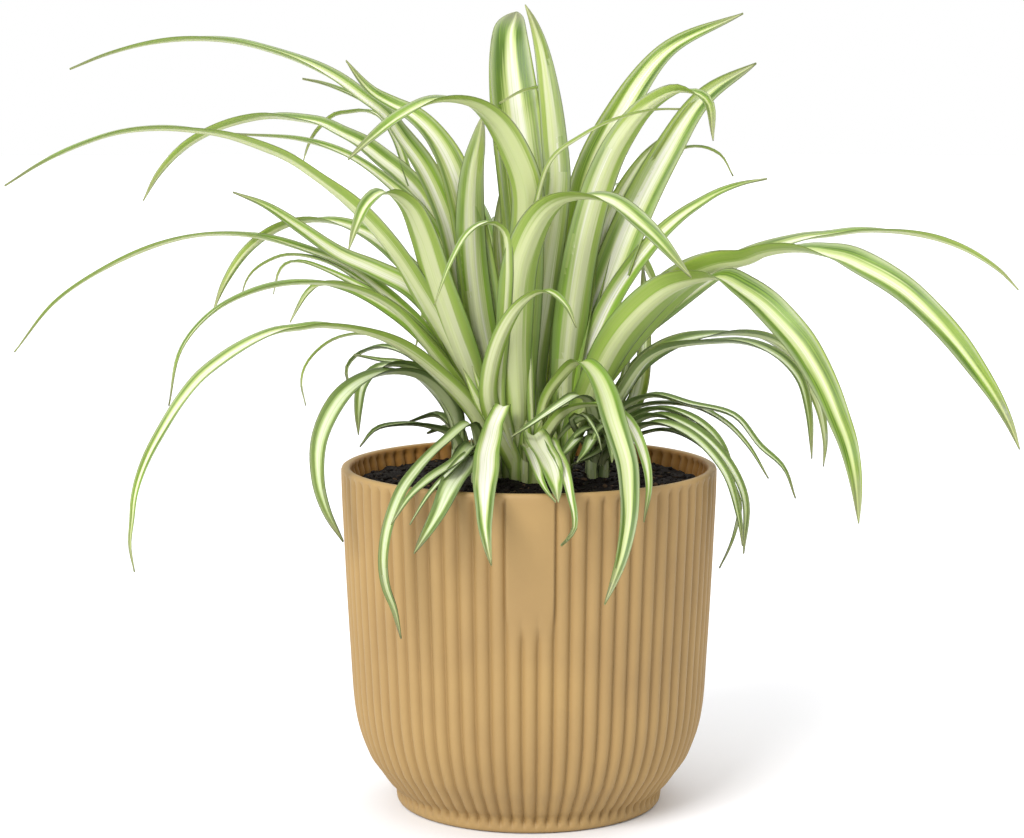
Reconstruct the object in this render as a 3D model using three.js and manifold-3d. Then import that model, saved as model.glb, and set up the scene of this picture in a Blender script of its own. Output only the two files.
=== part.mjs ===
// Potted spider plant: a ribbed plastic pot, the soil in it and eight leafy shoots.
// Millimetres, +Z up. The origin is the middle of the pot's flat base.
import * as THREE from "three";
import { mergeVertices } from "three/addons/utils/BufferGeometryUtils.js";
import Module from "manifold-3d";

const wasm = await Module();
wasm.setup();

// Pot
const potHeight = 127.5;
const rimRadius = 70;
const wallThickness = 3.6;
const floorThickness = 5;
const ribCount = 74;
const grooveDepth = 1.4;
const ribsBottom = 8;
const ribsTop = 124;
const innerGrooveShare = 0.6;
const panelHalfWidth = 6;
const panelBottom = 80;

// Soil
const soilTop = 121.5;
const soilGap = 0.5;
const soilCrumb = 0.7;
const soilSides = 24;
const holeDepth = 12;
const holeGap = 1.5;
const holeSides = 12;

// Leaves
const midribThickness = 0.8;
const midribShare = 0.04;
const bladeFold = 0.2;
const rootShare = 0.8;
const riseShare = 4.5;
const usualTaper = 3.4;
const tipWidth = 1;
const stepLength = 24;
const rollReach = 12;
const sheathLength = 8;
// Where a leaf starts in its crown and leaves it: below and above the soil's level, and
// out from the crown's middle in millimetres and as a share of its radius.
const rootDepth = 7;
const rootOut = 1.2;
const neckHeight = 4.5;
const neckShare = 0.55;

// The eye that the leaves' points are read from, in front of the pot and above it.
const eye = new THREE.Vector3(-6.3, -937.2, 270.8);

// Each shoot: where it stands in the soil, its radius there, and its leaves. A leaf has
// its width, the turn of its blade about the upright in degrees (0 faces the eye), the
// twist that is added to the turn by its tip, the widths of leaf that it takes to widen
// (its rise), the power of its taper (a low one gives a long thin tip), and its path from
// root to tip. A path point is [across, up, depth]: across and up are read in the upright
// plane through the pot's axis, and depth is how far behind it the leaf is.
const shoots = {
  shoot_left: {
    at: [-11, 9],
    radius: 5.2,
    colour: 0x86a848,
    leaves: [
      { width: 13, turn: 20, twist: 50, taper: 2, path: [[-18, 160, 11], [-24, 190, 14],
        [-30.5, 218, 17], [-38.5, 237, 21], [-46.5, 248.5, 24], [-53, 257.5, 26],
        [-61.5, 264, 28], [-70.5, 270.5, 30], [-81, 276, 31], [-93, 280.5, 33], [-107, 284, 35],
        [-122, 285, 37], [-138.5, 283.5, 39], [-154, 279.5, 40], [-168, 274, 41]] },
      { width: 17, turn: 5, twist: 25, taper: 2.5, path: [[-15, 158, 10], [-19, 196.5, 11],
        [-24, 224, 12], [-29.5, 240.5, 13], [-36, 251, 14], [-43, 257.5, 15], [-51, 261.5, 17],
        [-57, 265, 18], [-61.5, 269.5, 20], [-67, 277, 22]] },
      { width: 12, turn: -20, twist: -45, taper: 2, path: [[-19, 150, 7], [-29, 172, 4],
        [-37.5, 187, 2], [-47, 203, 0], [-55.5, 214, -2], [-66, 225, -5], [-77, 233.5, -7],
        [-88, 241, -9], [-99.5, 246, -11], [-111.5, 250, -13], [-124.5, 252, -15],
        [-137, 252.5, -17], [-151, 251, -19], [-165, 246.5, -21], [-179, 240, -22],
        [-193, 231.5, -24]] },
      { width: 12, turn: 30, taper: 3, path: [[-19, 160, 14], [-27, 194.5, 22], [-34, 216.5, 28],
        [-41, 228.5, 32], [-47.5, 235.5, 35], [-55, 241.5, 38], [-62, 247, 40], [-69.5, 251, 43],
        [-76.5, 254.5, 46], [-84, 256, 48], [-94.5, 257, 51], [-104, 255.5, 53], [-115, 252, 56],
        [-124.5, 247, 59], [-131, 241.5, 61], [-137, 234.5, 62], [-142, 226, 64]] },
      { width: 4.5, turn: 30, taper: 5, path: [[-18, 158, 12], [-27, 189, 18], [-36, 213, 26],
        [-44, 233.5, 36], [-49, 248, 46], [-54.5, 256.5, 52], [-60, 259, 56], [-65.5, 258.5, 58],
        [-71, 257.5, 59], [-75, 254.5, 60], [-79, 250, 60], [-81.5, 245, 60], [-83, 240, 60]] },
      { width: 11, turn: 25, twist: 25, taper: 2, path: [[-17, 158, 12], [-27, 195, 16],
        [-39, 219, 20], [-51, 231.5, 23], [-66, 242.3, 27], [-84, 248.5, 30],
        [-108, 250.5, 33]] },
      { width: 10.5, turn: 15, taper: 2.5, path: [[-20, 155, 9], [-31, 179, 12], [-43, 193, 14],
        [-56.5, 200, 16], [-70, 206, 18], [-84, 215.5, 21], [-97, 224, 24], [-109, 229, 26]] },
      { width: 8.5, turn: 35, twist: 35, taper: 1.8, path: [[-22, 150, 8], [-36, 174, 12],
        [-49, 187.5, 16], [-66, 201, 21], [-84, 208.5, 26], [-104, 213.5, 32], [-126, 212.8, 38],
        [-152, 203.5, 44], [-175, 189, 49], [-191, 170, 52]] },
      { width: 9, turn: 20, path: [[-20, 158, 12], [-36, 190, 19], [-54, 210, 25],
        [-66, 216.5, 28], [-79, 219, 31], [-93, 215.5, 34], [-104, 207.5, 36],
        [-112.5, 195.5, 38], [-117, 185, 39]] },
      { width: 4, turn: 50, taper: 4, path: [[-22, 154, 10], [-42, 182, 16], [-62, 196, 21],
        [-73.5, 203, 24], [-84, 206, 27], [-90.5, 206, 28], [-97, 203.5, 30], [-102, 200, 31],
        [-105, 195.5, 32], [-106, 191.5, 32]] },
      { width: 5, turn: 20, taper: 3, path: [[-22, 154, 9], [-42, 179.5, 13], [-57, 191, 17],
        [-68, 197, 19], [-76.5, 201, 21], [-83.5, 203.5, 22], [-88.5, 203.5, 23],
        [-92, 200.5, 24], [-93.5, 196, 25], [-94.5, 191.5, 25]] },
      { width: 9, turn: -40, twist: -25, taper: 1.8, path: [[-21, 147, 5], [-34, 167, 0],
        [-50, 186, -7], [-66, 194, -13], [-84, 196, -20], [-101, 193, -27], [-117, 185, -33],
        [-129, 171, -38], [-134, 150, -41]] },
      { width: 5, turn: 10, taper: 4, path: [[-21, 150, 8], [-42, 178, 5], [-62.5, 192, 3],
        [-72, 195, 2], [-78, 195, 2], [-82, 192, 1], [-85, 187.5, 1], [-88.5, 181, 1]] },
      { width: 9, turn: -20, taper: 1.8, path: [[-20, 146, 3], [-35, 162.5, -4],
        [-49.5, 173, -13], [-64.5, 178.5, -21], [-77.5, 180, -28], [-85, 179, -32],
        [-92.5, 178, -36], [-99.5, 175.5, -40], [-107, 171.5, -44], [-114.5, 166.5, -48],
        [-122.5, 160, -52], [-130, 151, -57], [-137, 140, -61], [-142, 131, -63],
        [-145.5, 122.5, -65], [-147.5, 115, -67], [-148.5, 106.5, -68], [-149.5, 97, -69],
        [-148, 87, -70]] },
      { width: 14, turn: -15, taper: 3, path: [[-20, 155, 5], [-28, 178, 1], [-34.3, 196.5, -3],
        [-39.5, 213, -8], [-45, 224.5, -13], [-53, 229.5, -19], [-59.5, 225, -24],
        [-63.5, 217, -27], [-66.5, 208, -29]] },
      { width: 12.5, turn: 5, taper: 6, path: [[-13.5, 155, 8], [-19, 185, 8], [-21.5, 212, 9],
        [-21, 235, 9], [-18.5, 249, 8], [-17, 257, 8]] },
      { width: 3, turn: 45, path: [[-22, 150, 14], [-40, 167, 27], [-58, 176.5, 32],
        [-72, 175, 35], [-82, 166.5, 37], [-84.5, 159, 38], [-83, 150, 38]] },
      { width: 13, turn: 15, twist: 30, taper: 2.2, path: [[-16.5, 160, 14], [-20.5, 181.5, 20],
        [-25, 203, 26], [-31, 223, 31], [-37, 237.5, 35], [-45, 248.5, 38], [-53, 257.5, 41],
        [-61.5, 263, 43], [-69, 266.5, 45], [-76, 269, 46], [-83, 270.5, 47]] },
    ],
  },
  shoot_centre: {
    at: [0, 13],
    radius: 5.2,
    colour: 0x7f9f3f,
    leaves: [
      { width: 21, turn: 5, taper: 7, path: [[1.5, 165, 17], [1, 200, 20], [-1.5, 230, 22],
        [-4, 250, 24], [-6, 266, 27], [-7, 279, 32], [-7, 288, 38], [-4.5, 294.5, 54]] },
      { width: 12, turn: -10, taper: 4.5, path: [[1, 165, 13], [6, 200, 11], [10, 234.5, 9],
        [9, 248, 9], [7.5, 262.5, 8], [4.5, 280.5, 7], [1.5, 290.5, 7], [-1.5, 297, 7]] },
      { width: 14.5, turn: -15, taper: 3, path: [[-3, 165, 8], [-1.5, 205, 2], [-1, 229.5, -4],
        [-5.5, 243, -8], [-13, 255.5, -14], [-22, 261.8, -20], [-34, 263, -27],
        [-47.3, 257, -35], [-58, 248.7, -41], [-66.5, 241, -45]] },
      { width: 4, turn: 20, path: [[4, 180, 17], [7, 225, 20], [9.5, 256, 21], [7, 266.5, 21],
        [-1, 266.5, 20], [-11, 261.5, 19]] },
      { width: 8, turn: 15, path: [[-4, 160, 16], [-9, 190, 20], [-11.5, 214, 22],
        [-10, 232, 23]] },
    ],
  },
  shoot_right: {
    at: [10.5, 7],
    radius: 5.2,
    colour: 0x86a848,
    leaves: [
      { width: 16.5, turn: -15, taper: 2.8, path: [[14, 165, 10], [18, 200, 16], [22, 233, 24],
        [32, 255, 32], [50, 280, 40], [78, 294, 46]] },
      { width: 14, turn: 5, taper: 3, path: [[14, 165, 8], [19, 205, 7], [26, 232, 5],
        [34, 249, 3], [44, 261, 0], [56, 266.5, -3], [65, 262.5, -6], [67.5, 248, -7]] },
      { width: 15, turn: -5, path: [[17, 160, 9], [27, 190, 13], [38, 219, 17],
        [50.5, 243.5, 21], [64, 263.5, 25], [83, 276, 28]] },
      { width: 10, turn: 5, path: [[16, 165, 10], [23, 195, 15], [31, 222, 20], [41, 240, 24],
        [50, 250, 27]] },
      { width: 10, turn: -15, taper: 2, path: [[19, 160, 8], [31, 190, 11], [46, 211, 14],
        [55.5, 220, 16], [63, 225, 17], [70, 229, 18], [78, 232, 19], [87.5, 234, 21]] },
      { width: 4, turn: -40, path: [[15, 165, 12], [28, 210, 20], [44, 238, 27], [60, 246, 31],
        [70, 243, 34], [75, 235, 36]] },
      { width: 16, turn: 5, taper: 3, path: [[20, 150, 4], [33, 171, -1], [48.5, 189, -7],
        [59.5, 197.5, -11], [70, 202, -15], [80, 204, -19], [87, 207, -23], [94.5, 208.5, -26],
        [102, 208.5, -29], [109, 207, -32], [116.5, 205, -35], [124, 201.5, -39],
        [131.5, 197.5, -42], [139, 192.5, -45], [148.5, 184, -50], [158, 174, -54],
        [165.5, 164.5, -58], [173.5, 153, -61], [179, 143, -62], [183, 133.5, -64]] },
      { width: 15.5, turn: 5, taper: 3.2, path: [[19, 145, 2], [31, 171.5, -6], [41, 184.5, -12],
        [52, 193.5, -17], [63, 197.5, -21], [70.5, 198.5, -25], [78.5, 194, -29],
        [86, 188.5, -33], [93.5, 181, -38], [100.5, 173, -42], [106, 164.5, -45],
        [111, 155, -48], [115, 145.5, -51], [118.5, 136.5, -53], [121, 127, -56],
        [122.5, 118, -57], [123.5, 105.5, -58]] },
    ],
  },
  shoot_front: {
    at: [-1, -1.5],
    radius: 5.5,
    colour: 0x93b255,
    leaves: [
      { width: 15, turn: 15, path: [[-4, 150, -3], [-5, 175, -7], [-2, 206, -13],
        [9, 224.5, -20], [26, 227.5, -29], [43, 216, -38], [60, 197.5, -46]] },
      { width: 5, turn: -30, path: [[-11, 150, -4], [-9, 181.5, -9], [-8, 203, -13],
        [-9, 214, -15], [-13.5, 218, -18], [-17.5, 217.5, -18], [-23, 213.5, -23],
        [-29, 203, -28], [-35, 187.5, -32]] },
      { width: 7.5, turn: 15, path: [[-12, 143, -5], [-15, 155, -9], [-11, 174, -14],
        [-3, 187.5, -19], [6, 192.8, -25], [13.5, 187.5, -30], [17.5, 179, -32]] },
      { width: 12, turn: 0, rise: 8, path: [[-9.5, 147.5, -7], [-9.5, 150, -12],
        [-12.5, 144, -15], [-14, 138, -26], [-15.5, 132, -37], [-16, 125.5, -55],
        [-16.5, 119, -71], [-16.5, 111.5, -82], [-16.5, 105.5, -86], [-16, 100, -89],
        [-15, 94, -91], [-14, 89.5, -91]] },
      { width: 10.5, turn: 30, twist: -30, rise: 9, path: [[6, 151, -4], [12.5, 161, -9],
        [19, 166.5, -17], [24, 163, -26], [28, 155.5, -37], [31.5, 144, -53], [34, 136.5, -60],
        [36.5, 128, -66], [37.5, 118, -74], [37.5, 108.5, -80], [36.5, 100.5, -83],
        [34.5, 91, -86], [31.5, 82, -87], [28.5, 74.5, -88]] },
      { width: 6, turn: 15, path: [[12, 146, -12], [26, 150.5, -28], [36, 145, -42],
        [42.5, 132, -56], [44.8, 119, -66], [43, 106, -69]] },
      { width: 9.5, turn: 10, rise: 4, taper: 6, path: [[1, 139, -10], [4.5, 134, -34],
        [8, 127.5, -54], [10, 119.5, -71], [11, 113.5, -78]] },
      { width: 5, turn: 0, path: [[-1, 134, -12], [3, 126, -52], [4.5, 121.5, -65],
        [7, 117, -72], [10, 113.5, -76]] },
      { width: 5, turn: 15, taper: 4, path: [[6, 136.5, -11], [10, 132, -41], [12.5, 127.5, -53],
        [14, 122.5, -66], [15.5, 115.5, -76], [17, 108.5, -81], [17, 103.5, -82], [15, 100, -83],
        [12, 97, -83]] },
      { width: 4, turn: 10, path: [[-9, 138, -4], [-15, 149, -7], [-21, 164.5, -10]] },
      { width: 6, turn: -20, path: [[-9, 138, -3], [-17, 148, -5], [-24.5, 163.5, -6]] },
      { width: 3.5, turn: 30, taper: 2.2, path: [[1, 150, -2], [0, 185.5, -3], [0.5, 211, -5],
        [3.5, 228, -6], [7, 239, -8], [11.5, 244.5, -9], [17.5, 248.5, -10], [26, 253.5, -11],
        [33.5, 256.5, -12], [40.5, 258.5, -13], [48, 259.5, -13], [55.5, 259.5, -13]] },
    ],
  },
  shoot_back: {
    at: [1, 27],
    radius: 5.2,
    colour: 0x769a3c,
    leaves: [
      { width: 11, turn: -20, taper: 2, path: [[14, 153, 33], [40, 177, 41], [76, 203, 51],
        [100, 212, 58], [111, 213.5, 61], [122, 215, 63], [131, 215, 66], [140.5, 214, 68],
        [151.5, 211.5, 71], [163, 207, 74], [174, 200, 77], [181, 193, 79]] },
      { width: 11, turn: 60, path: [[-5, 160, 42], [-14, 190, 66], [-24, 206, 98],
        [-34, 196, 130], [-42, 172, 152]] },
      { width: 10, turn: 20, path: [[-2, 165, 40], [-6, 200, 60], [-9, 219, 90], [-12, 212, 125],
        [-14, 190, 152]] },
      { width: 11, turn: -10, path: [[3, 160, 42], [7, 188, 66], [11, 201, 98], [15, 190, 132],
        [18, 162, 158]] },
      { width: 10, turn: -40, path: [[6, 162, 40], [16, 192, 58], [28, 209, 84], [40, 206, 112],
        [50, 188, 134]] },
      { width: 9, turn: 5, path: [[1, 150, 44], [2, 168, 70], [0, 172, 100], [-3, 158, 126],
        [-5, 138, 142]] },
      { width: 10, turn: 35, path: [[-6, 165, 38], [-13, 203, 50], [-20, 224, 70],
        [-28, 227, 96], [-36, 215, 122]] },
      { width: 11, turn: -20, path: [[7, 165, 37], [16, 204, 50], [25, 228, 72], [34, 232, 98],
        [42, 220, 124]] },
      { width: 11, turn: 5, path: [[2, 170, 36], [4, 212, 44], [5, 240, 62], [5, 248, 86],
        [4, 238, 110]] },
    ],
  },
  tuft_left: {
    at: [-25, 14],
    radius: 3.5,
    colour: 0x5f7f3a,
    leaves: [
      { width: 9.5, turn: -18, path: [[-29, 148, 11], [-40, 160.5, 4], [-54, 162.5, -8],
        [-68.5, 154.5, -23], [-77.5, 138, -32], [-78.5, 122, -36], [-75.5, 110, -38],
        [-69.5, 98.5, -38]] },
      { width: 8, turn: -10, path: [[-29, 150, 11], [-42, 163.5, 6], [-54, 165, 1],
        [-61.5, 158, -3], [-63.3, 149, -5], [-63.5, 139, -6]] },
      { width: 6, turn: 40, path: [[-28, 150, 14], [-42, 167, 13], [-54, 172, 14],
        [-63, 169.5, 15], [-67.5, 164, 16], [-66.8, 157, 16]] },
      { width: 4.5, turn: 35, path: [[-28, 146, 12], [-44, 164.5, 9], [-56, 167, 8],
        [-65, 169, 7]] },
      { width: 5, turn: -35, path: [[-28, 138, 10], [-38, 142.5, 4], [-48, 143, -1],
        [-57, 141, -5], [-63, 134.5, -8]] },
      { width: 7, turn: 60, path: [[-28, 140, 15], [-34, 146.5, 18], [-44.5, 144, 22]] },
      { width: 6, turn: 75, path: [[-27, 136, 16], [-31, 141.5, 22], [-38, 139.5, 30]] },
    ],
  },
  tuft_right: {
    at: [26, 10],
    radius: 4.5,
    colour: 0x55753a,
    leaves: [
      { width: 6, turn: 50, rise: 2.5, path: [[32, 146, 6], [45, 153.8, 2], [60, 150.5, -3],
        [76.5, 146, -7], [86, 134.7, -10], [95, 126.5, -12], [99.7, 115, -13]] },
      { width: 4.5, turn: 45, path: [[31.5, 142.5, 8], [41.5, 150, 6], [60, 150, 3],
        [72.5, 144, 0], [81.5, 135, -1], [89.5, 122.5, -3]] },
      { width: 6.5, turn: 40, rise: 2.5, path: [[33, 141, 3], [46, 149, -3], [60, 145.7, -9],
        [71, 136.5, -14], [77, 123.5, -17]] },
      { width: 6.5, turn: 35, rise: 2.5, path: [[32, 137, 1], [46, 146.5, -7], [60, 142, -14],
        [73, 130, -20], [80.5, 115, -24], [80.5, 94, -26]] },
      { width: 6.5, turn: 35, rise: 2.5, path: [[32, 135, -2], [46, 143.5, -13], [60, 139, -22],
        [73, 125, -29], [78.5, 108, -31], [80, 97, -32]] },
      { width: 3, turn: 30, path: [[32, 134, 2], [50, 141, -9], [67, 132.5, -18],
        [78.5, 114, -21], [77.5, 104, -21], [75, 96, -22], [71.5, 88.5, -22]] },
      { width: 8, turn: 30, rise: 9, path: [[30, 145, 9], [36, 156.5, 7], [43, 166.5, 6],
        [50, 171, 5], [57.5, 173, 3], [68, 174, 2], [78, 174, 0], [87, 171.5, -2],
        [95, 166.5, -4], [101, 159, -6], [104, 147.5, -8], [105.5, 130, -9]] },
      { width: 7, turn: -10, rise: 11, path: [[31, 148, 13], [40.5, 164, 15], [48.5, 170.5, 16],
        [57.5, 174.5, 17], [68, 176.5, 19], [78, 177, 20], [88.5, 175, 21], [97, 169.5, 22],
        [103.5, 159.5, 23], [108.5, 148, 24], [110.5, 136.5, 24], [110, 127, 25]] },
      { width: 6.5, turn: -10, path: [[33, 140, 15], [41, 155, 18], [43, 178, 20],
        [42, 203, 22]] },
      { width: 5, turn: 10, path: [[30, 142, 12], [35, 158, 12], [37.5, 173, 12]] },
      { width: 6, turn: -10, taper: 3, path: [[23.5, 148, -2], [20.5, 153, -8], [17, 153.5, -13],
        [13.5, 151.5, -17], [6, 146.5, -23], [-0.5, 142, -27], [-6.5, 138, -31]] },
      { width: 2.5, turn: 0, path: [[16, 145.5, -12], [20, 146.5, -12], [23.5, 142.5, -17],
        [26, 137.5, -21], [27, 133, -23]] },
      { width: 6, turn: 30, path: [[24, 136, -2], [19, 138, -14], [14, 133, -26],
        [10, 128.5, -34]] },
      { width: 6, turn: -10, path: [[26, 137, -4], [24, 138, -16], [21, 132.5, -30],
        [18, 128.5, -38]] },
      { width: 6, turn: 20, path: [[28, 136, -2], [30, 138.5, -14], [31, 133, -28],
        [31, 128.5, -36]] },
      { width: 4.5, turn: 30, path: [[28.5, 139.5, -2], [23.5, 141.5, -6], [18.5, 139.5, -13],
        [14, 134.5, -20]] },
      { width: 4.5, turn: -30, path: [[29.5, 137.5, -2], [26.5, 133, -8], [21.5, 130, -16],
        [16, 127.5, -24]] },
      { width: 4, turn: 10, path: [[31, 138, -2], [28.5, 142.5, -8], [25, 139.5, -16],
        [23, 134, -22]] },
      { width: 5, turn: 40, path: [[28, 142.5, 0], [22, 145.5, -3], [15.5, 142.5, -8],
        [10, 136.5, -12]] },
      { width: 4, turn: -20, path: [[32.5, 140.5, 4], [31, 147, 6], [27, 152.5, 8],
        [22.5, 154.5, 9]] },
    ],
  },
  tuft_front: {
    at: [-17, -5],
    radius: 3.8,
    colour: 0x6f8f45,
    leaves: [
      { width: 5, turn: -25, taper: 6, path: [[-21, 143, -13], [-31.5, 136, -29],
        [-42, 125.5, -52], [-48.5, 115.5, -66], [-53, 102.5, -71], [-54.5, 90.5, -73],
        [-53.5, 81.5, -73], [-50.5, 73, -72], [-48, 61.5, -71]] },
      { width: 6, turn: -25, path: [[-20, 135, -14], [-27, 129, -38], [-38, 121.5, -62],
        [-45, 115, -70], [-51.5, 105, -73]] },
      { width: 11, turn: -15, rise: 3, path: [[-20, 134, -13], [-25, 126, -40],
        [-29.5, 118.5, -68], [-34, 109, -80], [-43, 94, -84]] },
      { width: 3.5, turn: -30, path: [[-21, 132, -22], [-31, 123.5, -56], [-38, 115.5, -70],
        [-44.5, 105, -75]] },
    ],
  },
};

function toManifold(geometry) {
  const bare = geometry.clone();
  bare.deleteAttribute("normal");
  bare.deleteAttribute("uv");
  const merged = mergeVertices(bare, 1e-3);
  return new wasm.Manifold(new wasm.Mesh({
    numProp: 3,
    vertProperties: new Float32Array(merged.attributes.position.array),
    triVerts: new Uint32Array(merged.index.array),
  }));
}

function toGeometry(manifold) {
  const mesh = manifold.getMesh();
  const geometry = new THREE.BufferGeometry();
  geometry.setAttribute("position", new THREE.BufferAttribute(mesh.vertProperties, 3));
  geometry.setIndex(new THREE.BufferAttribute(mesh.triVerts, 1));
  geometry.computeVertexNormals();
  return geometry;
}

// A lathe about +Z: the profile's points are [radius, height].
function turned(profile, segments) {
  const points = profile.map(([radius, height]) => new THREE.Vector2(radius, height));
  return new THREE.LatheGeometry(points, segments).rotateX(Math.PI / 2);
}

// Two segments to a rib: one vertex on the rib's crest and the next in the groove. The
// grooves stop at the rim's lip and above the foot, and leave a plain panel in front.
function ribDepth(angle, x, y, height) {
  const isGroove = Math.round((angle / Math.PI) * ribCount) % 2 === 0;
  const isPanel = y < 0 && Math.abs(x) < panelHalfWidth && height > panelBottom - 1;
  const isRibbed = height > ribsBottom && height <= ribsTop;
  return isGroove && isRibbed && !isPanel ? grooveDepth : 0;
}

// A negative share turns the grooves into the wall from its inside.
function cutRibs(geometry, share) {
  const position = geometry.attributes.position;
  for (let i = 0; i < position.count; i += 1) {
    const x = position.getX(i);
    const y = position.getY(i);
    const radius = Math.hypot(x, y);
    const angle = Math.atan2(y, x) + 2 * Math.PI;
    const depth = share * ribDepth(angle, x, y, position.getZ(i));
    if (radius > 1 && depth !== 0) {
      position.setX(i, (x * (radius - depth)) / radius);
      position.setY(i, (y * (radius - depth)) / radius);
    }
  }
  return geometry;
}

function makePot() {
  const outside = turned([[0, 0], [47.5, 0], [53.4, 9], [62, 23], [66, 41], [68.2, panelBottom - 2],
    [68.3, panelBottom], [69.9, ribsTop], [rimRadius, ribsTop + 1.2], [rimRadius, potHeight],
    [0, potHeight]], 2 * ribCount);
  const rimInside = rimRadius - wallThickness;
  const soilSpace = turned([[0, floorThickness], [44, floorThickness], [57.5, 23], [62, 46],
    [64.2, soilTop], [0, soilTop]], 2 * soilSides);
  const mouth = turned([[0, soilTop - 4], [64, soilTop - 4], [rimInside - 0.8, ribsTop],
    [rimInside, potHeight + 1], [0, potHeight + 1]], 2 * ribCount);
  const inside = toManifold(soilSpace).add(toManifold(cutRibs(mouth, -innerGrooveShare)));
  return toManifold(cutRibs(outside, 1)).subtract(inside);
}

// A crumb pattern that is the same on every build.
function crumb(x, y) {
  return soilCrumb * Math.sin(0.61 * x + 1.3) * Math.cos(0.53 * y - 0.4);
}

function makeSoil() {
  const bottom = floorThickness + soilGap;
  const body = turned([[0, bottom], [43.4, bottom], [56.9, 23], [61.4, 46], [63.2, soilTop - 3.4],
    [63, soilTop - 0.4], [46, soilTop + 0.6], [24, soilTop + 1], [0, soilTop + 1]], soilSides);
  const position = body.attributes.position;
  for (let i = 0; i < position.count; i += 1) {
    const x = position.getX(i);
    const y = position.getY(i);
    const isTop = position.getZ(i) > soilTop && Math.hypot(x, y) > 1;
    if (isTop) {
      position.setZ(i, position.getZ(i) + crumb(x, y));
    }
  }
  let soil = toManifold(body);
  for (const shoot of Object.values(shoots)) {
    const radius = shoot.radius + holeGap;
    const hole = new THREE.CylinderGeometry(radius, radius, 2 * holeDepth, holeSides);
    hole.rotateX(Math.PI / 2).translate(shoot.at[0], shoot.at[1], soilTop);
    soil = soil.subtract(toManifold(hole));
  }
  return soil;
}

// A point read in the upright plane, slid along the sight line to its depth.
function slid([across, up, depth]) {
  const inPlane = new THREE.Vector3(across, 0, up);
  const share = (depth - eye.y) / -eye.y;
  return eye.clone().lerp(inPlane, share);
}

function leafCurve(shoot, path) {
  const points = path.map(slid);
  const root = new THREE.Vector3(shoot.at[0], shoot.at[1], 0);
  const out = points[0].clone().sub(root).setZ(0).normalize();
  const sunk = root.clone().addScaledVector(out, rootOut).setZ(soilTop - rootDepth);
  const neck = root.clone().addScaledVector(out, neckShare * shoot.radius);
  neck.setZ(soilTop + neckHeight);
  return new THREE.CatmullRomCurve3([sunk, neck, ...points], false, "centripetal");
}

// A blade is narrow where it sheathes the crown, widens above it and tapers to its tip.
function bladeWidth(leaf, root, along, length) {
  const widest = sheathLength + (leaf.rise ?? riseShare) * leaf.width;
  const rise = THREE.MathUtils.smoothstep(along * length, sheathLength, widest);
  const taper = Math.pow(1 - Math.pow(along, leaf.taper ?? usualTaper), 0.75);
  return Math.max((root + (leaf.width - root) * rise) * taper, tipWidth);
}

// The blade's level side line, made square to the leaf at a place along it.
function squareSide(curve, leaf, along) {
  const place = THREE.MathUtils.clamp(along, 0, 1);
  const turn = THREE.MathUtils.degToRad(leaf.turn + (leaf.twist ?? 0) * place);
  const side = new THREE.Vector3(Math.cos(turn), Math.sin(turn), 0);
  const tangent = curve.getTangentAt(place);
  return side.addScaledVector(tangent, -side.dot(tangent)).normalize();
}

// The frames along a leaf: its blade lies level where the leaf arches over, and shows
// its face, turned as given, where the leaf rises and falls. The roll from one to the
// other is spread over a stretch of the leaf.
function leafFrames(curve, leaf, root) {
  const length = curve.getLength();
  const steps = THREE.MathUtils.clamp(Math.round(length / stepLength), 5, 14);
  const frames = [];
  for (let i = 0; i <= steps; i += 1) {
    const along = i / steps;
    const tangent = curve.getTangentAt(along);
    const side = new THREE.Vector3();
    for (let k = -2; k <= 2; k += 1) {
      side.add(squareSide(curve, leaf, along + (k * rollReach) / length));
    }
    side.addScaledVector(tangent, -side.dot(tangent)).normalize();
    const face = side.clone().cross(tangent).normalize();
    const width = bladeWidth(leaf, root, along, length);
    frames.push({ centre: curve.getPointAt(along), side, face, width });
  }
  const lift = frames.reduce((sum, frame) => sum + frame.face.z, 0);
  if (lift < 0) {
    frames.forEach((frame) => frame.face.negate());
    frames.forEach((frame) => frame.side.negate());
  }
  return frames;
}

// The blade's section is a shallow trough about the leaf's path, thickest at its midrib.
function bladeSection(width) {
  const half = width / 2;
  const edge = (bladeFold * width) / 2;
  const thick = (midribThickness + midribShare * width) / 2;
  return [[-half, edge], [0, thick - edge], [half, edge], [0, -thick - edge]];
}

// One blade, with its two faces split alike and its ends closed.
function makeLeaf(shoot, leaf) {
  const root = Math.min(leaf.width, rootShare * shoot.radius);
  const frames = leafFrames(leafCurve(shoot, leaf.path), leaf, root);
  const positions = [];
  for (const { centre, side, face, width } of frames) {
    for (const [offset, height] of bladeSection(width)) {
      const point = centre.clone().addScaledVector(side, offset).addScaledVector(face, height);
      positions.push(point.x, point.y, point.z);
    }
  }
  const sides = 4;
  const indices = [];
  for (let i = 0; i + 1 < frames.length; i += 1) {
    for (let corner = 0; corner < sides; corner += 1) {
      const near = i * sides + corner;
      const next = i * sides + ((corner + 1) % sides);
      if (corner < sides / 2) {
        indices.push(near, next, next + sides, near, next + sides, near + sides);
      } else {
        indices.push(near, next, near + sides, next, next + sides, near + sides);
      }
    }
  }
  const last = (frames.length - 1) * sides;
  indices.push(0, 3, 1, 1, 3, 2);
  indices.push(last, last + 1, last + 3, last + 1, last + 2, last + 3);
  const geometry = new THREE.BufferGeometry();
  geometry.setAttribute("position", new THREE.Float32BufferAttribute(positions, 3));
  geometry.setIndex(indices);
  return toManifold(geometry);
}

// The shoot's short base, which stands in its hole in the soil.
function makeCrown(shoot) {
  const height = holeDepth + 5;
  const crown = new THREE.CylinderGeometry(0.8 * shoot.radius, shoot.radius, height, holeSides);
  crown.rotateX(Math.PI / 2).translate(shoot.at[0], shoot.at[1], soilTop + 5.5 - height / 2);
  return toManifold(crown);
}

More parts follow.
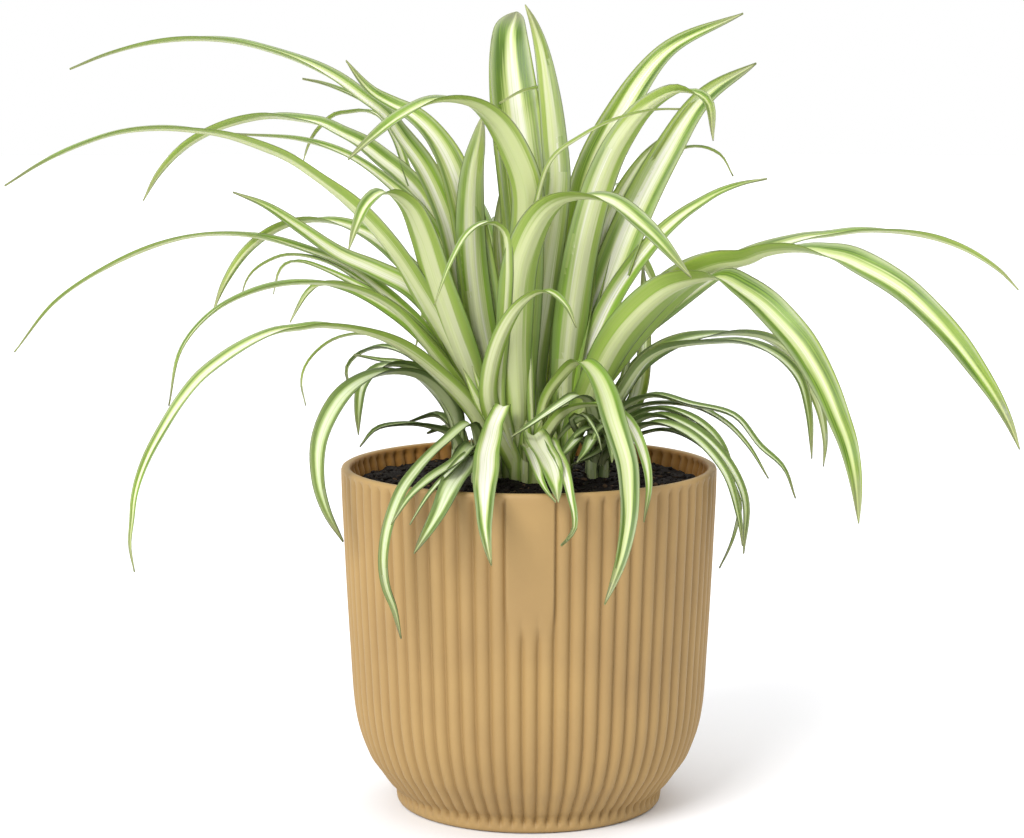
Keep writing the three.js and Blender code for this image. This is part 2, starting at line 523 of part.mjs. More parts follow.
// All the leaves of a shoot grow together at its crown. The small hollows that their bases
// close off are filled.
function makeShoot(shoot) {
  let plant = makeCrown(shoot);
  for (const leaf of shoot.leaves) {
    plant = plant.add(makeLeaf(shoot, leaf));
  }
  return plant.decompose().reduce((most, body) => (body.volume() > most.volume() ? body : most));
}

function named(name, manifold, colour, roughness) {
  const material = new THREE.MeshStandardMaterial({ color: colour, roughness, metalness: 0 });
  const mesh = new THREE.Mesh(toGeometry(manifold), material);
  mesh.name = name;
  return mesh;
}

const plant = new THREE.Group();
plant.add(named("pot", makePot(), 0xc4a36a, 0.55));
plant.add(named("soil", makeSoil(), 0x2b1d16, 0.95));
for (const [name, shoot] of Object.entries(shoots)) {
  plant.add(named(name, makeShoot(shoot), shoot.colour, 0.5));
}

export default plant;
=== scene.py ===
import math
import random

import bmesh
import bpy
from mathutils import Matrix, Vector, noise


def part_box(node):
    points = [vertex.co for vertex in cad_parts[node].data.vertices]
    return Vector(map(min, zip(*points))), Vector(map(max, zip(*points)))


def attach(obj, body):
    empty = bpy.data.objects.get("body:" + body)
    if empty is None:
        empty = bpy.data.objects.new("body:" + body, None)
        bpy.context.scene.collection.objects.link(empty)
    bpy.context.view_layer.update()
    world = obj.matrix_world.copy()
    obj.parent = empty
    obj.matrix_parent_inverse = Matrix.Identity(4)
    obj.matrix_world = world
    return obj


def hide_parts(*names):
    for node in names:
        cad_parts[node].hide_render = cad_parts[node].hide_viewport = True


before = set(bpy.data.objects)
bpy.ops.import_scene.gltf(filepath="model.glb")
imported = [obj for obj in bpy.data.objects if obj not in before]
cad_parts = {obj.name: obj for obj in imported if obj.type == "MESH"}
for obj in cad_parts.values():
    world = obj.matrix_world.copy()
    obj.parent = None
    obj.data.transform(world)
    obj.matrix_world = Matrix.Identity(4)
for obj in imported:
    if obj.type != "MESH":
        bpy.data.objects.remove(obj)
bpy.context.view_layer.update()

scene = bpy.context.scene
scene.view_settings.view_transform = "Standard"
mm = 0.001

# Everything is worked out in millimetres about the middle of the pot's base.
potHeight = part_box("pot")[1].z / mm
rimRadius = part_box("pot")[1].x / mm
underRim = 6  # how far the soil lies below the rim
soilTop = potHeight - underRim
eye = Vector((-6.3, -937.2, 270.8))  # the eye that the leaves' points are read from
tiny = 1e-4  # points closer than this are one


def hexColour(text):
    parts = [int(text[i:i + 2], 16) / 255 for i in (0, 2, 4)]
    linear = [part / 12.92 if part <= 0.04045 else ((part + 0.055) / 1.055) ** 2.4 for part in parts]
    return (*linear, 1)


def newMaterial(name):
    material = bpy.data.materials.new(name)
    material.use_nodes = True
    material.node_tree.nodes.clear()
    return material, material.node_tree


def addNode(tree, kind, sockets, **settings):
    node = tree.nodes.new("ShaderNode" + kind)
    for name, value in settings.items():
        setattr(node, name, value)
    for name, value in sockets.items():
        if isinstance(value, bpy.types.NodeSocket):
            tree.links.new(value, node.inputs[name])
        else:
            node.inputs[name].default_value = value
    return node.outputs


def addPiece(name, bm, material, node):
    bmesh.ops.recalc_face_normals(bm, faces=bm.faces)
    bmesh.ops.scale(bm, vec=(mm, mm, mm), verts=bm.verts)
    mesh = bpy.data.meshes.new(name)
    bm.to_mesh(mesh)
    bm.free()
    mesh.polygons.foreach_set("use_smooth", [True] * len(mesh.polygons))
    mesh.materials.append(material)
    piece = bpy.data.objects.new(name, mesh)
    scene.collection.objects.link(piece)
    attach(piece, "root")
    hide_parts(node)
    print("piece", name, len(mesh.polygons), "faces")


# A smooth line through all the points. It keeps from overshooting where they stand close together.
def smoothLine(points, perSpan):
    ring = [2 * points[0] - points[1], *points, 2 * points[-1] - points[-2]]
    line = []
    for a, b, c, d in zip(ring, ring[1:], ring[2:], ring[3:]):
        before, here, after = [max((q - p).length, tiny) ** 0.5 for p, q in ((a, b), (b, c), (c, d))]
        leave = ((b - a) / before - (c - a) / (before + here) + (c - b) / here) * here
        arrive = ((c - b) / here - (d - b) / (here + after) + (d - c) / after) * here
        for i in range(perSpan):
            t = i / perSpan
            bend = (-3 * b + 3 * c - 2 * leave - arrive) * t * t + (2 * b - 2 * c + leave + arrive) * t ** 3
            line.append(b + leave * t + bend)
    line.append(points[-1].copy())
    return line


def smoothStep(low, high, value):
    share = min(max((value - low) / (high - low), 0), 1)
    return share * share * (3 - 2 * share)


view = {"tiltDown": 7.67, "lens": 89.26, "clipStart": 0.05}
# Each soft light: where it comes from, how wide it is in degrees and how strong.
lights = {
    "key": {"from": (-0.95, -1.4, 1.2), "width": 30, "power": 3.0},
    "top": {"from": (0.15, 0.3, 1), "width": 70, "power": 0.9},
}
studio = {"sky": "FFFFFF", "skyStrength": 1.0, "floor": "E6E6E8", "floorRadius": 8, "floorSides": 96}


def makeCamera():
    camera = bpy.data.objects.new("camera", bpy.data.cameras.new("camera"))
    camera.data.lens = view["lens"]
    camera.data.clip_start = view["clipStart"]
    camera.location = eye * mm
    camera.rotation_euler = (math.radians(90 - view["tiltDown"]), 0, 0)
    scene.collection.objects.link(camera)
    scene.camera = camera


def makeLights():
    world = bpy.data.worlds.new("studio")
    world.use_nodes = True
    sky = world.node_tree.nodes["Background"]
    sky.inputs["Color"].default_value = hexColour(studio["sky"])
    sky.inputs["Strength"].default_value = studio["skyStrength"]
    scene.world = world
    for name, light in lights.items():
        lamp = bpy.data.objects.new(name, bpy.data.lights.new(name, "SUN"))
        lamp.data.energy = light["power"]
        lamp.data.angle = math.radians(light["width"])
        lamp.location = light["from"]
        lamp.rotation_euler = (-lamp.location).to_track_quat("-Z", "Y").to_euler()
        scene.collection.objects.link(lamp)


def makeFloor():
    # Matt white board: it shows soft shadows and hardly any reflection.
    paint, tree = newMaterial("mattWhiteBoard")
    shader = addNode(tree, "BsdfPrincipled", {"Base Color": hexColour(studio["floor"]), "Roughness": 0.9})
    addNode(tree, "OutputMaterial", {"Surface": shader["BSDF"]})
    bm = bmesh.new()
    bmesh.ops.create_circle(bm, cap_ends=True, segments=studio["floorSides"],
                            radius=studio["floorRadius"])
    mesh = bpy.data.meshes.new("floor")
    bm.to_mesh(mesh)
    bm.free()
    mesh.materials.append(paint)
    floor = bpy.data.objects.new("floor", mesh)
    scene.collection.objects.link(floor)


makeCamera()
makeLights()
makeFloor()
print("camera, lights and floor are in place")


potShape = {
    "wall": 3.6,
    "stepsPerSpan": 3,
    "ribs": 74,
    "facesPerRib": 12,
    "grooveDepth": 1.75,
    "grooveSharpness": 2.2,
    "innerGroove": 0.8,
    "ribsBottom": (1.5, 5),
    "ribsTop": (124.6, 126.4),
    "panelRibs": 3,
    "panelBottom": 80,
    "panelArch": 3,
    "panelEdge": 0.02,
}
# The groove colour is painted shade for the grooves, and the inside colour is painted bounce light on the
# inside of the wall.
potColours = {"plain": ("94784B", "9E8150"), "groove": "70501F", "inside": "A46C26"}
# The outside from the foot up to the rim, as [radius, height].
potOutside = [[47.5, 0], [49.4, 0.7], [50, 2.4], [50.2, 4.6], [50.9, 6.4], [53.2, 8.7], [56.6, 13.5],
              [59.8, 18], [62, 23], [63.7, 28], [64.9, 33], [66, 41], [66.9, 56], [67.7, 70], [68.5, 86],
              [69.2, 102], [69.8, 116], [70, 124]]
# The lip, measured from the rim's outer edge and the pot's top.
potLip = [[0, -1.3], [-0.3, -0.4], [-1, 0]]
# The mouth, measured from the wall's inner face and the pot's top.
potMouth = [[0.9, 0], [0.2, -0.5], [0, -1.5], [-0.1, -2.7], [-0.5, -4.1], [-0.9, -5.7], [-1.2, -8.5],
            [-2, -15.5]]
# The inside below the ribs of the mouth, down to the middle of the floor.
potInside = [[62, 46], [57.5, 23], [44, 5], [0, 5]]


def ribWave(turn, height):
    # 0 on a rib's crest and 1 in the groove beside it
    place = turn * potShape["ribs"] / (2 * math.pi)
    inRib = abs(place - round(place)) * 2
    groove = inRib ** potShape["grooveSharpness"]
    groove *= smoothStep(*potShape["ribsBottom"], height)
    groove *= 1 - smoothStep(*potShape["ribsTop"], height)
    fromPanel = abs(place) - potShape["panelRibs"] / 2
    if fromPanel < -potShape["panelEdge"]:
        arch = potShape["panelArch"]
        archBottom = potShape["panelBottom"] - arch * (1 - (2 * place / potShape["panelRibs"]) ** 2)
        groove *= 1 - smoothStep(archBottom, archBottom + arch, height)
    return groove


def mouldedPlastic():
    # Injection-moulded polypropylene with a fine spark-eroded grain: matt, with a soft broad highlight.
    material, tree = newMaterial("mouldedPolypropylene")
    place = addNode(tree, "TexCoord", {})["Object"]
    grain = addNode(tree, "TexNoise", {"Vector": place, "Scale": 1400.0, "Detail": 2.0})["Fac"]  # 0.7 mm
    cloud = addNode(tree, "TexNoise", {"Vector": place, "Scale": 28.0, "Detail": 3.0})["Fac"]  # 35 mm
    tone = addNode(tree, "MapRange", {"Value": cloud, "From Min": 0.3, "From Max": 0.7})["Result"]
    plain = [hexColour(value) for value in potColours["plain"]]
    colour = addNode(tree, "Mix", {0: tone, 6: plain[0], 7: plain[1]}, data_type="RGBA")[2]
    # painted shade: darker in the grooves, most of all inside the mouth; and painted bounce light: warmer on
    # the inside of the wall
    shares = addNode(tree, "Attribute", {}, attribute_name="potShare")["Vector"]
    groove, inside, _ = addNode(tree, "SeparateXYZ", {0: shares})
    most = addNode(tree, "MapRange", {"Value": inside, "To Min": 0.24, "To Max": 0.8})["Result"]
    paintedGrooveShade = addNode(tree, "Math", {0: groove, 1: most}, operation="MULTIPLY")["Value"]
    colour = addNode(tree, "Mix", {0: paintedGrooveShade, 6: colour, 7: hexColour(potColours["groove"])},
                     data_type="RGBA")[2]
    paintedInsideWarmth = addNode(tree, "Math", {0: inside, 1: 0.7}, operation="MULTIPLY")["Value"]
    colour = addNode(tree, "Mix", {0: paintedInsideWarmth, 6: colour, 7: hexColour(potColours["inside"])},
                     data_type="RGBA")[2]
    rough = addNode(tree, "MapRange", {"Value": grain, "To Min": 0.5, "To Max": 0.66})["Result"]
    bump = addNode(tree, "Bump", {"Height": grain, "Strength": 0.35, "Distance": 0.00006})["Normal"]
    shader = addNode(tree, "BsdfPrincipled", {"Base Color": colour, "Roughness": rough, "Normal": bump,
                                              "IOR": 1.49, "Specular IOR Level": 0.4})
    addNode(tree, "OutputMaterial", {"Surface": shader["BSDF"]})
    return material


def makePot():
    inner = rimRadius - potShape["wall"]
    outside = smoothLine([Vector((radius, 0, height)) for radius, height in potOutside],
                         potShape["stepsPerSpan"])
    lip = [Vector((rimRadius + out, 0, potHeight + up)) for out, up in potLip]
    mouth = [Vector((inner + out, 0, potHeight + up)) for out, up in potMouth]
    inside = [Vector((radius, 0, height)) for radius, height in potInside]
    bm = bmesh.new()
    ribs = bm.verts.layers.float.new("ribs")
    shares = bm.verts.layers.float_vector.new("potShare")
    verts = [bm.verts.new(point) for point in [Vector(), *outside, *lip, *mouth, *inside]]
    # how deep the grooves go: in full up to the lip, and the other way inside the mouth
    depths = [0] + [1] * (len(outside) + 1) + [0] * len(lip) + [-potShape["innerGroove"]] * (len(mouth) - 1)
    for vert, depth in zip(verts, depths):
        vert[ribs] = depth
    edges = [bm.edges.new(pair) for pair in zip(verts, verts[1:])]
    steps = potShape["ribs"] * potShape["facesPerRib"]
    bmesh.ops.spin(bm, geom=verts + edges, cent=(0, 0, 0), axis=(0, 0, 1), angle=2 * math.pi,
                   steps=steps, use_merge=True)
    bmesh.ops.remove_doubles(bm, verts=bm.verts, dist=tiny)
    for vert in bm.verts:
        radius = vert.co.xy.length
        if vert[ribs] != 0:
            turn = math.atan2(vert.co.x, -vert.co.y)  # 0 at the front
            groove = ribWave(turn, vert.co.z)
            # the groove share and the mouth mark, by which the material paints its groove shade and inside
            # bounce light
            vert[shares] = (groove, 1 if vert[ribs] < 0 else 0, 0)
            vert.co.xy *= (radius - vert[ribs] * potShape["grooveDepth"] * groove) / radius
    addPiece("ribbed_pot", bm, mouldedPlastic(), "pot")


makePot()


soilShape = {
    "radius": 64.2,
    "taper": 0.6,
    "deep": 9,
    "rings": 46,
    "steps": 260,
    "edgeLevel": -0.6,
    "dome": 0.6,
    "crumb": 1.3,
    "crumbSize": 5.5,
    "crumbSlice": 3,
    "grit": 0.5,
    "gritSize": 1.7,
    "gritSlice": 7,
    "seed": 11,
}
# The loose grains. Their stretch is along, across and up, and a high paleShare makes pale ones rarer.
grainShape = {
    "count": 1900,
    "fromEdge": 2,
    "size": (0.4, 1.5),
    "shrink": (0.6, 1),
    "stretch": ((0.7, 1.5), (0.6, 1), (0.4, 0.8)),
    "jitter": (0.8, 1.2),
    "lift": 0.25,
    "paleShare": 8,
}
soilColours = {"peat": ("070504", "1E1510"), "bark": "56422F"}


def soilHeight(x, y):
    radius = math.hypot(x, y)
    dome = soilShape["dome"] * (1 - (radius / soilShape["radius"]) ** 2)
    crumb = soilShape["crumb"] * noise.noise(Vector((x, y, soilShape["crumbSlice"])) / soilShape["crumbSize"])
    grit = soilShape["grit"] * noise.noise(Vector((x, y, soilShape["gritSlice"])) / soilShape["gritSize"])
    return soilTop + soilShape["edgeLevel"] + dome + crumb + grit


def pottingMix():
    # Moist peat with bark crumbs: nearly black, dull, with a few paler specks.
    material, tree = newMaterial("moistPeatMix")
    place = addNode(tree, "TexCoord", {})["Object"]
    grainTone = addNode(tree, "Attribute", {}, attribute_name="grainTone")["Fac"]
    crumbs = addNode(tree, "TexVoronoi", {"Vector": place, "Scale": 420.0})["Distance"]  # 2.4 mm
    fine = addNode(tree, "TexNoise", {"Vector": place, "Scale": 1300.0, "Detail": 4.0})["Fac"]  # 0.8 mm
    peat = [hexColour(value) for value in soilColours["peat"]]
    dark = addNode(tree, "Mix", {0: fine, 6: peat[0], 7: peat[1]}, data_type="RGBA")[2]
    bark = addNode(tree, "Mix", {0: grainTone, 6: dark, 7: hexColour(soilColours["bark"])},
                   data_type="RGBA")[2]
    height = addNode(tree, "Math", {0: crumbs, 1: fine}, operation="ADD")["Value"]
    bump = addNode(tree, "Bump", {"Height": height, "Strength": 0.8, "Distance": 0.0006})["Normal"]
    shader = addNode(tree, "BsdfPrincipled", {"Base Color": bark, "Roughness": 0.9, "Normal": bump,
                                              "Specular IOR Level": 0.2})
    addNode(tree, "OutputMaterial", {"Surface": shader["BSDF"]})
    return material


def makeSoil():
    edge = soilShape["radius"]
    bm = bmesh.new()
    grainTone = bm.verts.layers.float.new("grainTone")
    # the top stands out by its height of 1 until its crumbs are worked in
    top = [Vector((edge * i / soilShape["rings"], 0, 1)) for i in range(soilShape["rings"] + 1)]
    under = [Vector((radius, 0, -soilShape["deep"])) for radius in (edge - soilShape["taper"], 0)]
    verts = [bm.verts.new(point) for point in [*top, *under]]
    edges = [bm.edges.new(pair) for pair in zip(verts, verts[1:])]
    bmesh.ops.spin(bm, geom=verts + edges, cent=(0, 0, 0), axis=(0, 0, 1), angle=2 * math.pi,
                   steps=soilShape["steps"], use_merge=True)
    bmesh.ops.remove_doubles(bm, verts=bm.verts, dist=tiny)
    for vert in bm.verts:
        if vert.co.z > 0:
            vert.co.z = soilHeight(vert.co.x, vert.co.y)
        else:
            vert.co.z += soilTop
    draw = random.Random(soilShape["seed"])
    for _ in range(grainShape["count"]):
        reach = (edge - grainShape["fromEdge"]) * math.sqrt(draw.random())
        turn = draw.uniform(0, 2 * math.pi)
        x, y = reach * math.cos(turn), reach * math.sin(turn)
        size = draw.uniform(*grainShape["size"]) * draw.uniform(*grainShape["shrink"])
        tone = draw.random() ** grainShape["paleShare"]
        stretch = Vector([draw.uniform(*span) for span in grainShape["stretch"]])
        spin = Matrix.Rotation(draw.uniform(0, math.pi), 3, "Z")
        centre = Vector((x, y, soilHeight(x, y) + grainShape["lift"] * size))
        for vert in bmesh.ops.create_icosphere(bm, subdivisions=1, radius=size)["verts"]:
            jitter = Vector([draw.uniform(*grainShape["jitter"]) for _ in range(3)])
            vert.co = centre + spin @ (vert.co * stretch * jitter)
            vert[grainTone] = tone
    addPiece("potting_mix", bm, pottingMix(), "soil")


makeSoil()


# A leaf starts in its crown, rootDepth under the soil and rootOut from the middle, and leaves it at
# its neck. The fold eases from the root's to the blade's over foldReach.
leafShape = {
    "thickness": 0.45,
    "thinEdge": 0.6,
    "thinFrom": 0.8,
    "stepsPerSpan": 12,
    "stepLength": 2.6,
    "columns": 12,
    "fold": 0.2,
    "rootFold": 0.5,
    "foldReach": (6, 50),
    "foldSoftness": 0.14,
    "rootDepth": 7,
    "rootOut": 1.2,
    "neckShare": 0.55,
    "neckHeight": 4.5,
    "sheathLength": 8,
    "rootShare": 1.3,
    "riseShare": 4.5,
    "usualTaper": 3.4,
    "roundness": 0.75,
    "tipWidth": 0.4,
    "keel": 0.25,
    "keelShare": 0.12,
    "waveDepth": 0.35,
    "waveLength": 47,
    "wavePhase": 1.7,
    "marginLag": 2,
    "fullWaveWidth": 10,
    "rollReach": 22,
}
# Widths, heights and reaches are shares of the shoot's radius.
sheathShape = {
    "count": 7,
    "scatter": 0.5,
    "footDepth": 5,
    "footReach": 0.7,
    "width": 1.35,
    "tipWidth": 0.5,
    "taper": 3.5,
    "roundness": 0.8,
    "height": (2.6, 5.2),
    "reach": (0.8, 1.0),
    "lean": (-0.05, 0.12),
    "fold": 0.3,
    "stripe": 0.5,
    "shade": (0.3, 0.9),
    "cream": (0.2, 0.7),
    "stepsPerSpan": 8,
    "stepLength": 1.4,
    "seed": 40,
}
# The core that fills the foot of a shoot, its radii as shares of the shoot's.
crownShape = {"bottom": 0.8, "top": 0.5, "height": 12, "sunk": 3, "sides": 24}
# What a leaf has where its own line says nothing else: the half width of its pale band as a share
# of the blade, how bright its green is, and how nearly white its band is.
leafLook = {"stripe": 0.4, "shade": 0.5, "cream": 0.8}

# In both palettes the inner green is painted light that comes through the leaves in the middle of the plant,
# the dull grey-green is a painted sheen on the outer margins, the edge colour is painted shade along the rim,
# and the deep green is the margins' own colour and also painted shade near the root.
leafColours = {
    "deepGreen": "435D18",
    "brightGreen": "749030",
    "innerGlowGreen": "86AC30",
    "lime": "A8B373",
    "cream": "D8D6CA",
    "dull": "8E9872",
    "base": "AABE5C",
    "underGreen": "879A48",
    "underCream": "BFC499",
    "edge": "465226",
    "dryTip": "7F7C60",
}
smallLeafColours = {
    "deepGreen": "33441A",
    "brightGreen": "566A2C",
    "innerGlowGreen": "607636",
    "lime": "94A468",
    "cream": "DCE0CA",
    "dull": "6E7C50",
    "base": "74854A",
    "underGreen": "667648",
    "underCream": "B4BA94",
    "edge": "30381C",
    "dryTip": "6A6548",
}
# Streaks that run along the blade: how many to a millimetre across and along, and their detail.
leafStreaks = {
    "fineVeins": (2.6, 0.02, 1.0),  # 0.4 mm apart, 50 mm long
    "broadVeins": (0.75, 0.011, 2.0),  # 1.3 mm apart
    "patches": (0.12, 0.045, 2.0),
    "drift": (0.0, 0.02, 1.0),  # the band wanders from side to side
}


def leafBlade(name, colours):
    # A living leaf: cream down its middle, green along its margins, fine veins, a waxy sheen, and
    # light that comes through it.
    material, tree = newMaterial(name)
    tint = {key: hexColour(value) for key, value in colours.items()}
    share = addNode(tree, "Attribute", {}, attribute_name="bladeShare")["Vector"]
    place = addNode(tree, "Attribute", {}, attribute_name="bladePlace")["Vector"]
    look = addNode(tree, "Attribute", {}, attribute_name="bladeLook")["Vector"]
    s, along, under = addNode(tree, "SeparateXYZ", {0: share})
    across, run, seed = addNode(tree, "SeparateXYZ", {0: place})
    stripe, shade, whiteness = addNode(tree, "SeparateXYZ", {0: look})

    def maths(operation, first, second=0.0):
        return addNode(tree, "Math", {0: first, 1: second}, operation=operation)["Value"]

    def ramp(value, low, high, start=0.0, end=1.0):
        return addNode(tree, "MapRange", {"Value": value, "From Min": low, "From Max": high,
                                          "To Min": start, "To Max": end},
                       interpolation_type="SMOOTHSTEP")["Result"]

    def blend(amount, first, second):
        return addNode(tree, "Mix", {0: amount, 6: first, 7: second}, data_type="RGBA")[2]

    def streaksOf(acrossScale, runScale, detail):
        vector = addNode(tree, "CombineXYZ", {0: maths("MULTIPLY", across, acrossScale),
                                              1: maths("MULTIPLY", run, runScale), 2: seed})["Vector"]
        return addNode(tree, "TexNoise", {"Vector": vector, "Scale": 1.0, "Detail": detail})["Fac"]

    def spread(value, amount):
        return maths("MULTIPLY", maths("SUBTRACT", value, 0.5), amount)

    fineVeins = streaksOf(*leafStreaks["fineVeins"])
    broadVeins = streaksOf(*leafStreaks["broadVeins"])
    patches = streaksOf(*leafStreaks["patches"])
    drift = streaksOf(*leafStreaks["drift"])

    # from the midrib out: cream, then lime, then green, each running into the next in fine streaks
    fromMidrib = maths("ABSOLUTE", s)
    fromBand = maths("ABSOLUTE", maths("ADD", s, spread(drift, 0.35)))
    fromBand = maths("ADD", fromBand, maths("ADD", spread(broadVeins, 0.55), spread(fineVeins, 0.25)))
    halfBand = maths("MULTIPLY", stripe, ramp(along, 0.7, 1.0, 1.0, 0.2))
    pastBand = maths("SUBTRACT", fromBand, halfBand)
    streaks = maths("MULTIPLY", ramp(fineVeins, 0.5, 0.68), 0.45)
    cream = blend(whiteness, tint["lime"], tint["cream"])
    band = blend(maths("MAXIMUM", ramp(pastBand, -0.3, 0.04), streaks), cream, tint["lime"])
    greenTone = maths("ADD", maths("ADD", spread(patches, 1.5), spread(fineVeins, 2.2)), shade)
    green = blend(greenTone, tint["deepGreen"], tint["brightGreen"])
    # painted light: a brighter, more saturated green towards the root, for the light that comes through the
    # leaves in the middle of the plant
    green = blend(ramp(run, 50.0, 130.0, 0.7, 0.0), green, tint["innerGlowGreen"])
    # painted sheen: the outer margins turn a paler grey-green, more so further from the root
    paintedSheenShare = maths("MULTIPLY", ramp(fromMidrib, 0.6, 0.95), ramp(run, 60.0, 150.0, 0.3, 0.85))
    margin = blend(paintedSheenShare, green, tint["dull"])
    toGreen = ramp(pastBand, -0.04, 0.2)
    upper = blend(toGreen, band, margin)
    underMargin = blend(ramp(fineVeins, 0.3, 0.75, 0.0, 0.5), tint["underGreen"], green)
    limed = maths("MAXIMUM", streaks, maths("SUBTRACT", 1.0, whiteness))
    underBand = blend(limed, tint["underCream"], tint["lime"])
    lower = blend(toGreen, underBand, underMargin)
    colour = blend(under, upper, lower)

    # paler where it clasps the crown, with painted shade on its margins near the root where the leaves shade
    # one another, dry at its tip, and darker along its very edge as painted shade at the rim
    clasp = maths("MULTIPLY", ramp(run, 10.0, 65.0, 0.45, 0.0), ramp(fineVeins, 0.35, 0.7, 1.0, 0.45))
    colour = blend(clasp, colour, tint["base"])
    # painted shade: deep green on the margins near the root, where the leaves shade one another
    paintedRootShade = maths("MULTIPLY", ramp(fromMidrib, 0.5, 0.95), ramp(run, 30.0, 120.0, 0.6, 0.0))
    colour = blend(paintedRootShade, colour, tint["deepGreen"])
    colour = blend(ramp(along, 0.9, 1.0, 0.0, 0.7), colour, tint["dryTip"])
    # painted shade: darker along the very edge of the blade
    colour = blend(ramp(fromMidrib, 0.9, 1.0, 0.0, 0.7), colour, tint["edge"])
    # a thin lime line down the midrib: partly its own colour and partly painted shade in the crease of the
    # fold
    midrib = ramp(maths("ABSOLUTE", across), 0.08, 0.3, 0.4, 0.0)
    colour = blend(midrib, colour, tint["lime"])

    height = maths("ADD", maths("MULTIPLY", fineVeins, 0.6), broadVeins)
    bump = addNode(tree, "Bump", {"Height": height, "Strength": 0.5, "Distance": 0.0002})["Normal"]
    rough = ramp(fineVeins, 0.3, 0.7, 0.38, 0.5)
    shader = addNode(tree, "BsdfPrincipled", {"Base Color": colour, "Roughness": rough, "Normal": bump,
                                              "IOR": 1.42, "Subsurface Weight": 0.2,
                                              "Subsurface Radius": (0.8, 1.0, 0.3),
                                              "Subsurface Scale": 0.0012})
    addNode(tree, "OutputMaterial", {"Surface": shader["BSDF"]})
    return material


# The leaves' points are [across, up, depth]: across and up are read in the upright plane through
# the pot's axis, and depth is how far behind that plane the leaf is on the eye's line.
def slide(point):
    across, up, depth = point
    return eye + (Vector((across, 0, up)) - eye) * ((depth - eye.y) / -eye.y)


def evenLine(line, spacing):
    marks = [0]
    for a, b in zip(line, line[1:]):
        marks.append(marks[-1] + (b - a).length)
    count = max(round(marks[-1] / spacing), 10)  # the shortest line still bends smoothly
    even = []
    k = 0
    for i in range(count + 1):
        mark = marks[-1] * i / count
        while k < len(line) - 2 and marks[k + 1] < mark:
            k += 1
        even.append(line[k].lerp(line[k + 1], (mark - marks[k]) / (marks[k + 1] - marks[k])))
    return even, marks[-1]


def leafLine(shoot, path):
    points = [slide(point) for point in path]
    root = Vector((*shoot["at"], 0))
    out = ((points[0] - root) * Vector((1, 1, 0))).normalized()
    sunk = root + out * leafShape["rootOut"]
    sunk.z = soilTop - leafShape["rootDepth"]
    neck = root + out * leafShape["neckShare"] * shoot["radius"]
    neck.z = soilTop + leafShape["neckHeight"]
    line = smoothLine([sunk, neck, *points], leafShape["stepsPerSpan"])
    return evenLine(line, leafShape["stepLength"])


def tangentsOf(line):
    last = len(line) - 1
    return [(line[min(i + 1, last)] - line[max(i - 1, 0)]).normalized() for i in range(last + 1)]


# The blade lies level where the leaf arches over, and shows its face, turned as its line says,
# where the leaf rises and falls. The roll from one to the other is spread along the leaf.
def leafFrames(leaf, line):
    last = len(line) - 1
    tangents = tangentsOf(line)
    square = []
    for i, tangent in enumerate(tangents):
        turn = math.radians(leaf["turn"] + leaf.get("twist", 0) * i / last)
        level = Vector((math.cos(turn), math.sin(turn), 0))
        square.append((level - tangent * level.dot(tangent)).normalized())
    reach = round(leafShape["rollReach"] / leafShape["stepLength"])
    sides = []
    for i, tangent in enumerate(tangents):
        around = [square[min(max(i + k, 0), last)] for k in range(-reach, reach + 1)]
        side = sum(around, Vector())
        sides.append((side - tangent * side.dot(tangent)).normalized())
    faces = [side.cross(tangent) for side, tangent in zip(sides, tangents)]
    if sum(face.z for face in faces) < 0:
        sides = [-side for side in sides]
        faces = [-face for face in faces]
    return sides, faces


def bladeWidth(leaf, root, along, length):
    sheath = leafShape["sheathLength"]
    widest = sheath + leaf.get("rise", leafShape["riseShare"]) * leaf["width"]
    rise = smoothStep(sheath, widest, along * length)
    taper = max(1 - along ** leaf.get("taper", leafShape["usualTaper"]), 0) ** leafShape["roundness"]
    return max((root + (leaf["width"] - root) * rise) * taper, leafShape["tipWidth"])


# A blade is a folded strip along a line. It has a side and a face for each point of the line.
def addBlade(bm, layers, line, length, sides, faces, widths, folds, look, seed):
    rows = len(line) - 1
    soft = leafShape["foldSoftness"]
    grid = bmesh.ops.create_grid(bm, x_segments=leafShape["columns"], y_segments=rows, size=1)["verts"]
    for vert in grid:
        s = 0.5 * vert.co.x + 0.5 * math.sin(vert.co.x * math.pi / 2)  # closer columns at the margins
        row = round((vert.co.y + 1) / 2 * rows)
        along = row / rows
        width = widths[row]
        trough = (math.hypot(s, soft) - soft) / (math.hypot(1, soft) - soft) - 0.5
        rise = folds[row] * width * trough
        phase = seed * leafShape["wavePhase"] + (leafShape["marginLag"] if s > 0 else 0)
        wave = math.sin(2 * math.pi * along * length / leafShape["waveLength"] + phase)
        rise += leafShape["waveDepth"] * min(width / leafShape["fullWaveWidth"], 1) * s * s * wave
        vert.co = line[row] + sides[row] * (s * width / 2) + faces[row] * rise
        vert[layers["bladeShare"]] = (s, along, 0)
        vert[layers["bladePlace"]] = (s * width / 2, along * length, seed)
        vert[layers["bladeLook"]] = look
    known = len(bm.verts)
    blade = list(dict.fromkeys(face for vert in grid for face in vert.link_faces))
    bmesh.ops.solidify(bm, geom=blade, thickness=leafShape["thickness"])
    bm.verts.ensure_lookup_table()
    for vert in bm.verts[known:]:
        s, along, _ = vert[layers["bladeShare"]]
        thin = leafShape["thinEdge"] * leafShape["thickness"] * smoothStep(leafShape["thinFrom"], 1, abs(s))
        keel = leafShape["keel"] * max(1 - abs(s) / leafShape["keelShare"], 0)
        vert.co += faces[round(along * rows)] * (thin - keel)
        vert[layers["bladeShare"]] = (s, along, 1)


